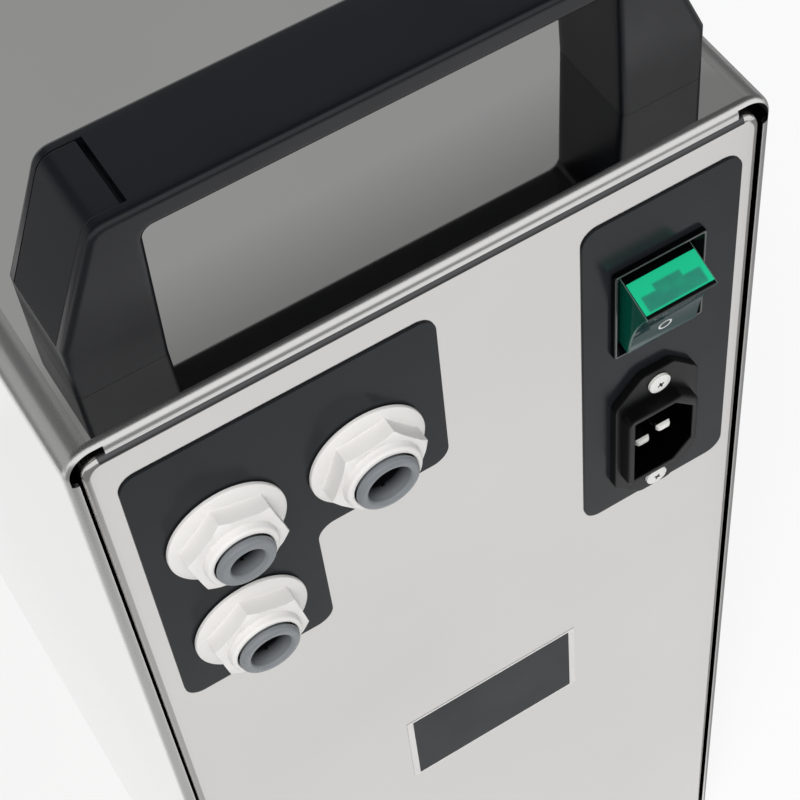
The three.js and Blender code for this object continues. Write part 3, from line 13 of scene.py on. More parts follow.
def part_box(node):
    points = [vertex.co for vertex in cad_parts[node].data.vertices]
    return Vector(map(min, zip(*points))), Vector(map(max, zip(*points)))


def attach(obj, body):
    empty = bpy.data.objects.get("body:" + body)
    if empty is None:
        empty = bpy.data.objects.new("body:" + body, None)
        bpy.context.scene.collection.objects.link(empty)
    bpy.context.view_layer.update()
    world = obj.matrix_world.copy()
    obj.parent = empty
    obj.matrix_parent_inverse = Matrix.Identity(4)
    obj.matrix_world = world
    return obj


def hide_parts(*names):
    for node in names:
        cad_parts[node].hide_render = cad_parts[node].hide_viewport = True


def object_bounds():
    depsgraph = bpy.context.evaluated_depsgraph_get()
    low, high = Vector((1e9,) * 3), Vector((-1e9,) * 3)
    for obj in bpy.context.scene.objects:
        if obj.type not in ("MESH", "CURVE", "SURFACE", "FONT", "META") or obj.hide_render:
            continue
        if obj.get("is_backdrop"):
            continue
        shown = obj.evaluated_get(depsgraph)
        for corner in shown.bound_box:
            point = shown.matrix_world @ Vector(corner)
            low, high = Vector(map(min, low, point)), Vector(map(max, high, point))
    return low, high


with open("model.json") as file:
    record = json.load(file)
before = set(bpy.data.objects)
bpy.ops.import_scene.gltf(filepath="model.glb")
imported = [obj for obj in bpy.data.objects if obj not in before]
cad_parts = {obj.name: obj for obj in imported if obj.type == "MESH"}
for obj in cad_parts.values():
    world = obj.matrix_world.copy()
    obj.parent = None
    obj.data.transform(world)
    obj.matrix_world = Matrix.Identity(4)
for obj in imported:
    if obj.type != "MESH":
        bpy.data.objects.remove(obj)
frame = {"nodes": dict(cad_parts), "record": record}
cad_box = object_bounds()
scene = bpy.context.scene
MM = 0.001

# Studio: a camera above the connection panel's left side, looking down across it. The lamps are
# two large soft boxes. Grey and dark cards hang overhead, stand round the case and lie beside it,
# where only reflections meet them: they give the polished steel its grey top and its dark lines.
scene.view_settings.view_transform = "Standard"
camera = bpy.data.objects.new("camera", bpy.data.cameras.new("camera"))
camera.data.sensor_width = 36
camera.data.lens = 96.04
camera.data.clip_start = 0.02
right = (0.85271603, -0.51660725, -0.07741005)
up = (0.46213189, 0.67696079, 0.57285094)
back = (-0.24353538, -0.52425284, 0.815996)
station = (-0.1230, -0.39445, 0.7140)
camera.matrix_world = Matrix((right, up, back)).transposed().to_4x4()
camera.location = station
scene.collection.objects.link(camera)
scene.camera = camera


def node(tree, kind, sockets=None, **settings):
    """One shader node: sockets joins an output to each named input, or sets its value."""
    made = tree.nodes.new("ShaderNode" + kind)
    for key, value in settings.items():
        setattr(made, key, value)
    for name, value in (sockets or {}).items():
        if isinstance(value, bpy.types.NodeSocket):
            tree.links.new(value, made.inputs[name])
        else:
            made.inputs[name].default_value = value
    return made


def seen_directly(tree):
    """1 where a camera, glossy or transmission ray meets the backdrop, 0 for light that fills."""
    path = node(tree, "LightPath").outputs
    either = {0: path["Is Camera Ray"], 1: path["Is Glossy Ray"]}
    either = node(tree, "Math", either, operation="MAXIMUM").outputs[0]
    every = {0: either, 1: path["Is Transmission Ray"]}
    return node(tree, "Math", every, operation="MAXIMUM").outputs[0]


def spread(tree, value, low, high, start=0.3, end=0.7):
    """Carries a value between start and end over to between low and high."""
    settings = {"Value": value, "From Min": start, "From Max": end, "To Min": low, "To Max": high}
    return node(tree, "MapRange", settings).outputs[0]


def backdrop(name, shade, unseen=0.4, strength=1.0, far_shade=None, reach=(0, 1)):
    """Backdrop finish: a plain shader for light that falls on it, and a glow of its own shade for
    the camera and for reflections, mixed by strength. Along a reach of Y, the glow may change to a
    far shade."""
    material = bpy.data.materials.new(name)
    material.use_nodes = True
    tree = material.node_tree
    tree.nodes.clear()
    matt = node(tree, "BsdfDiffuse", {"Color": (unseen, unseen, unseen, 1)})
    glow = node(tree, "Emission", {"Color": (shade, shade, shade, 1)})
    if far_shade is not None:
        place = node(tree, "TexCoord").outputs["Object"]
        y = node(tree, "SeparateXYZ", {0: place}).outputs[1]
        tree.links.new(spread(tree, y, shade, far_shade, *reach), glow.inputs["Color"])
    share = node(tree, "Math", {0: seen_directly(tree), 1: strength}, operation="MULTIPLY")
    mix = node(tree, "MixShader", {0: share.outputs[0], 1: matt.outputs[0], 2: glow.outputs[0]})
    node(tree, "OutputMaterial", {"Surface": mix.outputs[0]})
    return material


def board(name, corner, along, across, material):
    """A flat rectangle from one corner along two edges, all in metres."""
    corner, along, across = (np.array(v, float) for v in (corner, along, across))
    points = [corner, corner + along, corner + along + across, corner + across]
    mesh = bpy.data.meshes.new(name)
    mesh.from_pydata([p.tolist() for p in points], [], [(0, 1, 2, 3)])
    made = bpy.data.objects.new(name, mesh)
    mesh.materials.append(material)
    scene.collection.objects.link(made)
    made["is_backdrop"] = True
    return made


floor_paper = backdrop("floor_paper", 1.0, 0.86, 0.72)
board("floor", (-6, -6, -0.0005), (12, 0, 0), (0, 12, 0), floor_paper)

# Each card's shade, a corner and two edges
cards = {
    "ceiling_card": (0.24, (-4.0, 0.58, 1.5), (0, 4.22, 0.40), (7.0, 0, 0)),
    "right_ceiling_card": (0.24, (0.95, 0.9, 1.48), (0, 3.0, 0.2), (2.2, 0, 0)),
    "left_ceiling_card": (0.15, (-3.0, 0.45, 1.47), (0, 3.0, 0.2), (2.6, 0, 0)),
    "overhead_card": (0.085, (-4.0, -0.72, 1.5), (0, 1.30, 0), (7.0, 0, 0)),
    "left_card": (0.42, (-1.0, -0.3, 0.0), (0, 3.4, 0), (-0.6, 0, 1.25)),
    "slope_card": (0.2, (-0.40, 0.15, 0.0002), (-0.6, 0, 0), (0, 0.9, 0)),
    "side_card": (0.14, (1.7, -0.4, 0.0), (0, 4.6, 0), (0.3, 0, 1.3)),
    "low_card": (0.26, (-0.5, -0.14, 0.0), (2.4, -1.87, 0), (-0.15, -0.25, 0.42)),
    "right_floor_card": (0.30, (0.088, -0.152, 0.0002), (0.887, -0.95, 0), (0.54, 1.62, 0)),
    "left_floor_card": (0.56, (-0.088, -0.158, 0.0002), (0.083, -0.594, 0), (-0.6, 0.36, 0)),
}
fades = {"ceiling_card": {"far_shade": 0.385, "reach": (0.70, 0.80)}}
for name, (shade, *edges) in cards.items():
    card = board(name, *edges, backdrop(name, shade, **fades.get(name, {})))
    card.visible_camera = card.visible_diffuse = card.visible_shadow = False

studio = bpy.data.worlds.new("studio")
studio.use_nodes = True
scene.world = studio
room = studio.node_tree
room.nodes.clear()
fill_light = node(room, "Background", {"Color": (0.42, 0.425, 0.435, 1)})
white_wall = node(room, "Background", {"Color": (1, 1, 1, 1)})
walls = {0: seen_directly(room), 1: fill_light.outputs[0], 2: white_wall.outputs[0]}
node(room, "OutputWorld", {"Surface": node(room, "MixShader", walls).outputs[0]})


def soft_box(name, place, aim, size, watts, shade):
    """A square area lamp at a place, turned towards a point."""
    lamp = bpy.data.objects.new(name, bpy.data.lights.new(name, "AREA"))
    lamp.data.size, lamp.data.energy, lamp.data.color = size, watts, shade
    lamp.location = place
    lamp.rotation_euler = (Vector(place) - Vector(aim)).to_track_quat("Z", "Y").to_euler()
    lamp.visible_glossy = False
    scene.collection.objects.link(lamp)


soft_box("key_lamp", (-0.5, -1.05, 1.65), (0, -0.15, 0.3), 1.0, 24, (1, 0.985, 0.96))
soft_box("edge_lamp", (1.5, 0.5, 1.4), (0, 0, 0.3), 0.9, 14, (0.97, 0.985, 1))

# Cover: one stainless sheet bent over the left side, top and right side, polished nearly to a
# mirror but duller where it is bent. Its front and back edges are folded in; at each top corner the
# fold is notched away, so that only the sheet's own edge runs round the corner.
SHEET = 1.0
FOLD = 2.4
TOP_FLANGE, SIDE_FLANGE = 3.3, 2.5
TOP_CORNER, LOW_CORNER = 7.0, 5.0
NOTCH_DROP, NOTCH_WIDTH = 8.9, 9.4
LIP = 34.0
FOLD_STEPS, CUT_STEPS, INNER_STEPS = 8, 4, 7
FOLD_COLUMNS = FOLD_STEPS + CUT_STEPS


def extent(cad_name):
    """A CAD node's lowest and highest corners, in millimetres."""
    return [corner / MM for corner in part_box(cad_name)]


panel_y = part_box("connection_panel")[0].y / MM
cover_low, cover_high = extent("outer_cover")
half_width, case_top, case_base = cover_high.x, cover_high.z, cover_low.z
case_depth = cover_high.y - cover_low.y


def skin(rows, ring=True, loop=False, keep=None):
    """Four-sided faces through rows of points: ring joins each row's end to its start, loop the
    last row to the first, and keep marks the columns of faces that are made."""
    rows = np.asarray(rows, float)
    deep, wide = rows.shape[:2]
    row = np.arange(deep if loop else deep - 1)[:, None]
    column = np.arange(wide if ring else wide - 1)[None, :]
    below, beside = (row + 1) % deep, (column + 1) % wide
    corners = [row * wide + column, row * wide + beside]
    corners += [below * wide + beside, below * wide + column]
    faces = np.stack(np.broadcast_arrays(*corners), -1).reshape(-1, 4)
    if keep is not None:
        faces = faces[np.tile(keep, len(faces) // len(keep))]
    return rows.reshape(-1, 3), faces


def lid(outer, *holes):
    """A flat face inside a closed loop of points and outside its holes, cut into triangles."""
    loops = []
    for loop in (outer, *holes):
        loop = np.asarray(loop, float)
        apart = np.linalg.norm(loop - np.roll(loop, 1, 0), axis=1) > 1e-4
        loops.append(loop[apart])
    triangles = tessellate_polygon([[Vector(p) for p in loop] for loop in loops])
    return np.concatenate(loops), np.array(triangles)


def solid(name, parts, soften=0.0, steps=3, crease=28):
    """Welds parts, in millimetres with Y from the panel's plane, into one closed mesh in metres
    whose faces point outwards. A part is points, faces and, where it isn't the first finish, the
    number of its faces' finish. soften is the size of the bevel that its sharp edges get."""
    starts = np.cumsum([0] + [len(part[0]) for part in parts])
    points = np.concatenate([part[0] for part in parts]) + (0, panel_y, 0)
    faces = [face for part, start in zip(parts, starts) for face in (part[1] + start).tolist()]
    finish = [np.broadcast_to(part[2] if len(part) > 2 else 0, len(part[1])) for part in parts]
    mesh = bpy.data.meshes.new(name)
    mesh.from_pydata(points * MM, [], faces)
    mesh.polygons.foreach_set("material_index", np.concatenate(finish).astype(np.int32))
    shell = bmesh.new()
    shell.from_mesh(mesh)
    bmesh.ops.remove_doubles(shell, verts=shell.verts, dist=2e-6)
    bmesh.ops.dissolve_degenerate(shell, edges=shell.edges, dist=1e-6)
    bmesh.ops.recalc_face_normals(shell, faces=shell.faces)
    shell.to_mesh(mesh)
    shell.free()
    mesh.polygons.foreach_set("use_smooth", np.ones(len(mesh.polygons), bool))
    made = bpy.data.objects.new(name, mesh)
    scene.collection.objects.link(made)
    if soften:
        bevel = made.modifiers.new("soft_edges", "BEVEL")
        bevel.width = soften * MM
        bevel.segments = steps
        bevel.limit_method = "ANGLE"
        bevel.angle_limit = math.radians(crease)
        bevel.harden_normals = True
    else:
        mesh.set_sharp_from_angle(angle=math.radians(crease))
        made.modifiers.new("flat_faces", "WEIGHTED_NORMAL").keep_sharp = True
    return made


def noise(tree, place, scale, detail=3, stretch=(1, 1, 1), rough=0.55):
    """Noise over the piece's own coordinates, drawn out along an axis by stretch."""
    mapped = node(tree, "Mapping", {"Vector": place, "Scale": stretch})
    settings = {"Vector": mapped.outputs[0], "Scale": scale, "Detail": detail, "Roughness": rough}
    return node(tree, "TexNoise", settings).outputs["Fac"]


def blend(tree, share, one, two):
    """A colour between two, by share."""
    return node(tree, "Mix", {0: share, 6: one, 7: two}, data_type="RGBA").outputs[2]


finishes = {}


def bare_finish(name, socket, value):
    """Starts a finish and keeps it by name: one Principled shader with one socket set to a value."""
    material = finishes[name] = bpy.data.materials.new(name)
    material.use_nodes = True
    tree = material.node_tree
    shader = tree.nodes["Principled BSDF"]
    shader.inputs[socket].default_value = value
    return tree, shader, node(tree, "TexCoord").outputs["Object"]


def dress(tree, shader, cloud, colours, gloss, relief, strength, distance):
    """Joins a finish's two slowly mixed colours, its gloss and its bump to the shader."""
    light, dim = ((*colour, 1) for colour in colours)
    tone = blend(tree, spread(tree, cloud, 0, 1), light, dim)
    bump = node(tree, "Bump", {"Height": relief, "Strength": strength, "Distance": distance})
    for socket, value in (("Base Color", tone), ("Roughness", gloss), ("Normal", bump.outputs[0])):
        tree.links.new(value, shader.inputs[socket])


def sheet_steel(name, colour, tint, haze, grain, depth, along):
    """Metal, mostly sheet: grinding lines of a fineness (grain) and depth, drawn out along one
    direction, with a slow haze over them that changes the gloss and, very slightly, the colour."""
    tree, shader, place = bare_finish(name, "Metallic", 1.0)
    lines = noise(tree, place, grain, 4, along, 0.6)
    cloud = noise(tree, place, 9)
    mixed = node(tree, "Math", {0: lines, 1: cloud, 2: 0.5}, operation="MULTIPLY_ADD").outputs[0]
    gloss = spread(tree, mixed, *haze, 0.45, 1.05)
    dress(tree, shader, cloud, (colour, tint), gloss, lines, depth, 0.00002)


def fit(piece, slot, *names, body="case", node=None):
    """Gives a piece its finishes, or the slot's own, and its body, and hides the CAD node it stands for."""
    for name in names or (slot,):
        piece.data.materials.append(finishes[name])
    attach(piece, body)
    if node:
        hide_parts(node)


def cover_stations():
    """Places round the sheet from the right lip over the top to the left lip: x, z, the inward
    direction, and how deep the fold returns there (0 where it is cut away)."""

    def arc(start, end, steps, radius, z):
        """Stations round a bend centred one radius inside the right side, between two angles."""
        for angle in np.radians(np.linspace(start, end, steps)):
            c, s = math.cos(angle), math.sin(angle)
            yield half_width - radius + radius * c, z + radius * s, -c, -s, 0

    side_low, side_top = case_base + LOW_CORNER, case_top - NOTCH_DROP
    side_ends = ((side_low, SIDE_FLANGE), (side_top, SIDE_FLANGE), (side_top, 0))
    rows = [(half_width - LIP, case_base, 0, 1, 0)]
    rows += arc(-90, 0, 13, LOW_CORNER, side_low)
    rows += [(half_width, z, -1, 0, fold) for z, fold in side_ends]
    rows += arc(0, 90, 19, TOP_CORNER, case_top - TOP_CORNER)
    rows += [(half_width - NOTCH_WIDTH, case_top, 0, -1, fold) for fold in (0, TOP_FLANGE)]
    right_half = np.array(rows)
    left_half = right_half[::-1] * (-1, 1, -1, 1, 1)
    return np.concatenate([right_half, left_half])


def cover_rows(stations):
    """The sheet's cross-section at each station: a quarter round of radius FOLD, the return, the
    sheet's edge and the inner quarter round, then the same again at the far end. Where the fold is
    cut away, the round stops one sheet's thickness in."""
    cut = math.acos((FOLD - SHEET) / FOLD)
    x, z, in_x, in_z, fold = stations.T[:, :, None]
    whole = fold > 0
    past_cut = np.linspace(cut, math.pi / 2, CUT_STEPS + 1)[1:]
    angle = np.concatenate([np.linspace(0, cut, FOLD_STEPS), past_cut])[None]
    held = np.where(whole, angle, np.minimum(angle, cut))
    outer = [FOLD - FOLD * np.cos(held), FOLD - FOLD * np.sin(held)]
    cut_y = FOLD - FOLD * math.sin(cut)
    edge = [np.where(whole, [[1.0, 1.0]] * fold, SHEET)]
    edge += [np.where(whole, [[0, SHEET]], [[cut_y, SHEET]])]
    inner_angle = np.linspace(math.pi / 2, 0, INNER_STEPS)[None]
    radius = FOLD - SHEET
    inner_y = FOLD - radius * np.sin(inner_angle) + 0 * fold
    inner = [np.where(whole, FOLD - radius * np.cos(inner_angle), SHEET), inner_y]
    inset = np.concatenate([outer[0], edge[0], inner[0]], 1)
    y = np.concatenate([outer[1], edge[1], inner[1]], 1)
    inset = np.concatenate([inset, inset[:, ::-1]], 1)
    y = np.concatenate([y, case_depth - y[:, ::-1]], 1)
    return np.stack([x + in_x * inset, y, z + in_z * inset], -1)


steel = (0.735, 0.73, 0.722), (0.7, 0.697, 0.69)
sheet_steel("cover_steel", *steel, (0.02, 0.035), 2600, 0.01, (1, 0.02, 1))
sheet_steel("bent_steel", *steel, (0.26, 0.3), 2600, 0.005, (1, 0.02, 1))
stations = cover_stations()
sheet_rows = cover_rows(stations)
oblique = np.abs(stations[:, 2] * stations[:, 3]) > 1e-6
folded = np.zeros(sheet_rows.shape[1], bool)
folded[:FOLD_COLUMNS] = True
folded[-1 - FOLD_COLUMNS : -1] = True
bent = np.logical_or.outer(oblique[1:] | oblique[:-1], folded)
sheet_skin = (*skin(sheet_rows), bent.ravel())
cover = solid("cover_sheet", [sheet_skin, lid(sheet_rows[0]), lid(sheet_rows[-1])])
fit(cover, "cover_steel", "cover_steel", "bent_steel", node="outer_cover")

# Connection panel: a drawn stainless panel with rolled edges and a deep return, set just inside
# the cover's folds. It has a satin face, with round holes for the fittings and square ones for the
# switch and the inlet. Along the top, strips of the rolled rim are painted dark, as painted shade
# under the cover's fold.
PANEL_RIM, RIM_STEPS = 1.8, 10
PANEL_RETURN = 14.0
PANEL_CORNER = 5.0
SHADED_RIM_ROWS = slice(2, RIM_STEPS + 1)
SIDE_REACH, TOP_DROP = 0.5, 0.4
FACE_INSET = 3.4
PORT_HOLE = 9.55
SWITCH_HOLE, INLET_HOLE = (22.3, 27.8, 0.4), (21.3, 28.5, 0.4)
panel_low, panel_high = extent("connection_panel")


def front(cad_name):
    """A CAD node from the front, in millimetres: its middle's x and z, its width and height."""
    low, high = extent(cad_name)
    return (low.x + high.x) / 2, (low.z + high.z) / 2, high.x - low.x, high.z - low.z


ports = {port: front(port + "_fitting")[:2] for port in ("soda", "gas", "water")}
switch_at = front("switch_housing")[:2]
inlet_at = front("inlet_socket")[:2]


def rounded(corners, steps):
    """An outline whose corners are arcs: each corner is x, z and radius, and its arc is centred on
    the bisector, where both edges are one radius away."""
    points = []
    for i, (x, z, radius) in enumerate(corners):
        here = np.array([x, z], float)
        if not radius:
            points.append(here[None])
            continue
        back_edge = np.array(corners[i - 1][:2], float) - here
        next_edge = np.array(corners[(i + 1) % len(corners)][:2], float) - here
        back_edge /= np.linalg.norm(back_edge)
        next_edge /= np.linalg.norm(next_edge)
        half = math.acos(np.clip(back_edge @ next_edge, -1, 1)) / 2
        middle = (back_edge + next_edge) / np.linalg.norm(back_edge + next_edge)
        centre = here + middle * radius / math.sin(half)
        spoke = here + back_edge * radius / math.tan(half) - centre
        turn = -np.sign(back_edge[0] * next_edge[1] - back_edge[1] * next_edge[0])
        angle = turn * (math.pi - 2 * half) * np.linspace(0, 1, steps + 1)
        c, s = np.cos(angle), np.sin(angle)
        turned = np.stack([c * spoke[0] - s * spoke[1], s * spoke[0] + c * spoke[1]], 1)
        points.append(centre + turned)
    return np.concatenate(points)


def offset(outline, inset):
    """Moves each edge of an anticlockwise outline inwards by its inset; a point goes to where its
    two moved edges cross."""
    edge = np.roll(outline, -1, 0) - outline
    edge /= np.linalg.norm(edge, axis=1)[:, None]
    inward = np.stack([-edge[:, 1], edge[:, 0]], 1)
    inset = np.broadcast_to(np.asarray(inset, float), len(outline))
    last, last_inset = np.roll(inward, 1, 0), np.roll(inset, 1)
    cross = last[:, 0] * inward[:, 1] - last[:, 1] * inward[:, 0]
    straight = np.abs(cross) < 1e-5
    safe = np.where(straight, 1, cross)
    x = (last_inset * inward[:, 1] - inset * last[:, 1]) / safe
    z = (inset * last[:, 0] - last_inset * inward[:, 0]) / safe
    moved = np.where(straight[:, None], inward * inset[:, None], np.stack([x, z], 1))
    return outline + moved


def raised(outline, y):
    """A flat outline, x and z, put at a depth y."""
    outline = np.asarray(outline, float)
    return np.stack([outline[:, 0], np.broadcast_to(y, len(outline)), outline[:, 1]], 1)


def rectangle(x, z, width, height, radius, steps=6):
    """A rectangle's outline with rounded corners."""
    w, h = width / 2, height / 2
    corners = [(x - w, z - h, radius), (x + w, z - h, radius)]
    return rounded(corners + [(x + w, z + h, radius), (x - w, z + h, radius)], steps)


def framed(x, z, rows):
    """Rounded rectangles, one behind the other: each row is width, height, radius and depth."""
    return [raised(rectangle(x, z, w, h, r, 4), y) for w, h, r, y in rows]


def pierced(rows, holes, near_y, far_y):
    """A plate's two flat faces, inside its first and last rows, and the walls of its holes."""
    near_holes, far_holes = ([raised(hole, y) for hole in holes] for y in (near_y, far_y))
    walls = [skin(pair) for pair in zip(near_holes, far_holes)]
    return [lid(rows[0], *near_holes), lid(rows[-1], *far_holes), *walls]


def pressing(holes):
    """A drawn panel: its profile runs from the face round the rolled rim to the return's edge and
    back inside, one sheet away, and is carried round the panel's outline. Along the top, the rim
    is painted dull and dark: painted shade under the cover's fold."""
    edge_x, top_z = panel_high.x + SIDE_REACH, panel_high.z - TOP_DROP
    corners = [(-edge_x, panel_low.z), (edge_x, panel_low.z), (edge_x, top_z), (-edge_x, top_z)]
    outline = rounded([(x, z, PANEL_CORNER) for x, z in corners], 12)
    bend = np.linspace(0, math.pi / 2, RIM_STEPS)
    inner = PANEL_RIM - SHEET
    profile = [(FACE_INSET, 0.0)]
    profile += zip(PANEL_RIM - PANEL_RIM * np.sin(bend), PANEL_RIM - PANEL_RIM * np.cos(bend))
    profile += [(0, PANEL_RETURN), (SHEET, PANEL_RETURN)]
    profile += zip(PANEL_RIM - inner * np.sin(bend[::-1]), PANEL_RIM - inner * np.cos(bend[::-1]))
    profile += [(FACE_INSET, SHEET)]
    rows = [raised(offset(outline, inset), y) for inset, y in profile]
    shaded = np.zeros((len(rows) - 1, len(outline)), int)
    along_top = np.minimum(outline[:, 1], np.roll(outline[:, 1], -1)) > top_z - 0.05
    shaded[SHADED_RIM_ROWS, along_top] = 1
    return [(*skin(rows), shaded.ravel()), *pierced(rows, holes, 0, SHEET)]


panel_light, panel_dim = (0.65, 0.638, 0.622), (0.615, 0.605, 0.592)
sheet_steel("panel_steel", panel_light, panel_dim, (0.13, 0.18), 2600, 0.02, (1, 1, 0.03))
# Painted shade: a dark, dull steel for the rim's strips along the top, under the cover's fold.
dark, darker = (0.12, 0.12, 0.125), (0.1, 0.1, 0.104)
sheet_steel("rim_painted_shade", dark, darker, (0.35, 0.45), 1200, 0.1, (1, 1, 1))
angle = np.linspace(0, 2 * math.pi, 72, endpoint=False)
port_ring = PORT_HOLE * np.stack([np.cos(angle), np.sin(angle)], 1)
panel_holes = [port_ring + at for at in ports.values()]
panel_holes += [rectangle(*switch_at, *SWITCH_HOLE), rectangle(*inlet_at, *INLET_HOLE)]
connection_panel = solid("rear_panel", pressing(panel_holes))
fit(connection_panel, "panel_steel", "panel_steel", "rim_painted_shade", node="connection_panel")

# Front panel: the same pressing at the far end, turned round, with a block of vent slots low down.
VENTS, VENT_LENGTH, VENT_HEIGHT, VENT_PITCH, VENT_LOW = 6, 90.0, 4.0, 11.0, 48.0
VENT_SIZE = (VENT_LENGTH, VENT_HEIGHT, VENT_HEIGHT / 2 - 0.05)
vent_places = [case_base + VENT_LOW + row * VENT_PITCH for row in range(VENTS)]
vent_slots = [rectangle(0, z, *VENT_SIZE, 10) for z in vent_places]
vent_parts = []
for points, *rest in pressing(vent_slots):
    vent_parts.append((points * (-1, -1, 1) + (0, case_depth, 0), *rest))
vented_panel = solid("vented_panel", vent_parts)
fit(vented_panel, "panel_steel", "panel_steel", "rim_painted_shade", node="front_panel")

# Labels: two charcoal foils glued on the panel, an L round the three fittings and a tall one round
# the switch and the inlet. They are bare.
FOIL_BACK, FOIL_FACE = -0.05, -0.5
LABEL_CORNER = 4.6
STEP_X, STEP_DROP = -36.2, 66.8


def foil(name, outline, holes, face=FOIL_FACE):
    """A thin plate: its edge is turned down a little at the face and runs straight to the back."""
    rows = [raised(offset(outline, 0.12), face), raised(offset(outline, 0.04), face + 0.03)]
    rows += [raised(outline, face + 0.12), raised(outline, FOIL_BACK)]
    return solid(name, [skin(rows), *pierced(rows, holes, face, FOIL_BACK)])


def moulded(name, colour, tint, gloss, grain, depth, shine):
    """Plastic: an even grain of a fineness and depth, and slow changes of tone and gloss."""
    tree, shader, place = bare_finish(name, "Specular IOR Level", shine)
    cloud = noise(tree, place, 38, 4)
    pores = noise(tree, place, grain)
    dress(tree, shader, cloud, (colour, tint), spread(tree, cloud, *gloss), pores, depth, 0.0001)


moulded("label_foil", (0.014, 0.0155, 0.018), (0.0115, 0.013, 0.0155), (0.15, 0.2), 3600, 0.01, 0.12)
label_low, label_high = extent("port_label")
port_outline = [(label_low.x, label_low.z), (STEP_X, label_low.z)]
port_outline += [(STEP_X, case_top - STEP_DROP), (label_high.x, case_top - STEP_DROP)]
port_outline += [(label_high.x, label_high.z), (label_low.x, label_high.z)]
port_outline = rounded([(x, z, LABEL_CORNER) for x, z in port_outline], 10)
port_label = foil("port_foil", port_outline, panel_holes[:3])
fit(port_label, "label_foil", node="port_label")
power_outline = rectangle(*front("power_label"), LABEL_CORNER, 10)
power_label = foil("power_foil", power_outline, panel_holes[3:])
fit(power_label, "label_foil", node="power_label")

# Badge plate: a bare dark foil low on the panel, on a slightly larger pale one whose edge shows.
BADGE_FACE, BADGE_CORNER = -0.2, 0.25
MARGIN_FACE, MARGIN, SIDE_MARGIN, MARGIN_GAP = -0.09, 0.9, 1.9, 0.02
moulded("badge_foil", (0.017, 0.019, 0.023), (0.014, 0.016, 0.019), (0.38, 0.46), 2600, 0.05, 0.16)
moulded("badge_silver", (0.69, 0.685, 0.675), (0.66, 0.655, 0.645), (0.35, 0.45), 2600, 0.03, 0.3)
*badge_at, badge_width, badge_height = front("badge_plate")
badge_edge = rectangle(*badge_at, badge_width, badge_height, BADGE_CORNER, 4)
badge = foil("badge", badge_edge, [], BADGE_FACE)
fit(badge, "label_foil", "badge_foil", node="badge_plate")
outer = (badge_width + 2 * SIDE_MARGIN, badge_height + 2 * MARGIN, BADGE_CORNER)
inner = (badge_width + 2 * MARGIN_GAP, badge_height + 2 * MARGIN_GAP, BADGE_CORNER)
margin_rows = [(*outer, FOIL_BACK), (*outer, MARGIN_FACE), (*inner, MARGIN_FACE), (*inner, FOIL_BACK)]
margin = solid("badge_margin", [skin(framed(*badge_at, margin_rows), loop=True)])
fit(margin, "label_foil", "badge_silver")

# Handle: one black moulding, an arch with sloping shoulders. Its edges are rounded, and a snap-in
# cap covers the screw in each shoulder, with a groove across the bar to pry it out.
handle_low, handle_high = extent("handle")
near, far = handle_low.y - panel_y, handle_high.y - panel_y
span = handle_high.x
SHOULDER_Z, SHOULDER_RUN = case_top + 14.8, 12.2
BAR = 6.5
LEG_FOOT, LEG_TOP = 20.7, 21.8
CROWN, OPENING = 5.0, 2.6
OUTER_ROUND, INNER_ROUND, FLAT_MARGIN = 1.5, 1.4, 0.5
CAP_BORDER, CAP_GAP, CAP_DEPTH, CAP_FLOOR = 2.9, 0.1, 4.5, 0.3
HANDLE_SOFT, CAP_SOFT = 0.45, 0.35
CAP_END, GROOVE, GROOVE_DEPTH = span - 20.0, 1.3, 3.2


def handle_outlines():
    """The arch's outer skin, from the right foot over to the left, and its opening back again."""
    foot_z, top_z = case_top + 0.03, handle_high.z
    shoulder = [(span, foot_z, 0), (span, SHOULDER_Z, 0), (span - SHOULDER_RUN, top_z, CROWN)]
    shoulder += [(CAP_END, top_z, 0), (CAP_END - GROOVE, top_z, 0)]
    outside = rounded(shoulder + [(-x, z, r) for x, z, r in shoulder[::-1]], 10)
    inside = [(span - LEG_FOOT, foot_z, 0), (span - LEG_TOP, top_z - BAR, OPENING)]
    opening = rounded([(-x, z, r) for x, z, r in inside] + inside[::-1], 10)
    return outside, opening


def cap_path(outside):
    """The stations under the right cap, from the shoulder's corner to the groove, each with the
    unit vector into the handle; at the shoulder it stands square to the slope."""
    path = outside[1 : len(outside) // 2]
    slope = np.array([-SHOULDER_RUN, handle_high.z - SHOULDER_Z])
    slope /= np.linalg.norm(slope)
    step = np.gradient(path, axis=0)
    step /= np.linalg.norm(step, axis=1)[:, None]
    step[0] = slope
    step[-3:] = (-1, 0)
    return path, np.stack([-step[:, 1], step[:, 0]], 1)


def channel(edge, floor, gap, side):
    """Four lines along a cap's well, drawn in by a gap: an edge, the floor's two, the other edge."""
    near_y, far_y = near + CAP_BORDER + gap, far - CAP_BORDER - gap
    lines = ((edge, near_y), (floor, near_y), (floor, far_y), (edge, far_y))
    return np.array([raised(line * (side, 1), y) for line, y in lines])


outside, opening = handle_outlines()
outline = np.concatenate([outside, opening])
edge_round = np.full(len(outline), OUTER_ROUND)
edge_round[len(outside) :] = INNER_ROUND
edge_round[[len(outside) - 1, -1]] = 0
turn = np.radians(np.linspace(90, 0, 7))
near_rings = [raised(offset(outline, np.where(edge_round, edge_round + FLAT_MARGIN, 0)), near)]
for angle in turn:
    ring = offset(outline, edge_round * (1 - math.cos(angle)))
    near_rings.append(raised(ring, near + OUTER_ROUND * (1 - math.sin(angle))))
near_rings.append(raised(outline, near + CAP_BORDER))
far_rings = [ring * (1, -1, 1) + (0, near + far, 0) for ring in near_rings[::-1]]
path, inward = cap_path(outside)
under_cap = np.zeros(len(outline), bool)
under_cap[1 : len(path)] = True
under_cap[len(outside) - 1 - len(path) : len(outside) - 2] = True
order = list(range(len(path) - 1)) + [len(path) - 2, len(path) - 1]
sink = np.array([CAP_DEPTH] * (len(path) - 1) + [GROOVE_DEPTH] * 2)[:, None]
path_in, inward_in = path[order], inward[order]
sunk = path_in + inward_in * sink
between_rings = skin([near_rings[-1], far_rings[0]], keep=~under_cap)
handle_parts = [skin(near_rings), skin(far_rings), between_rings]
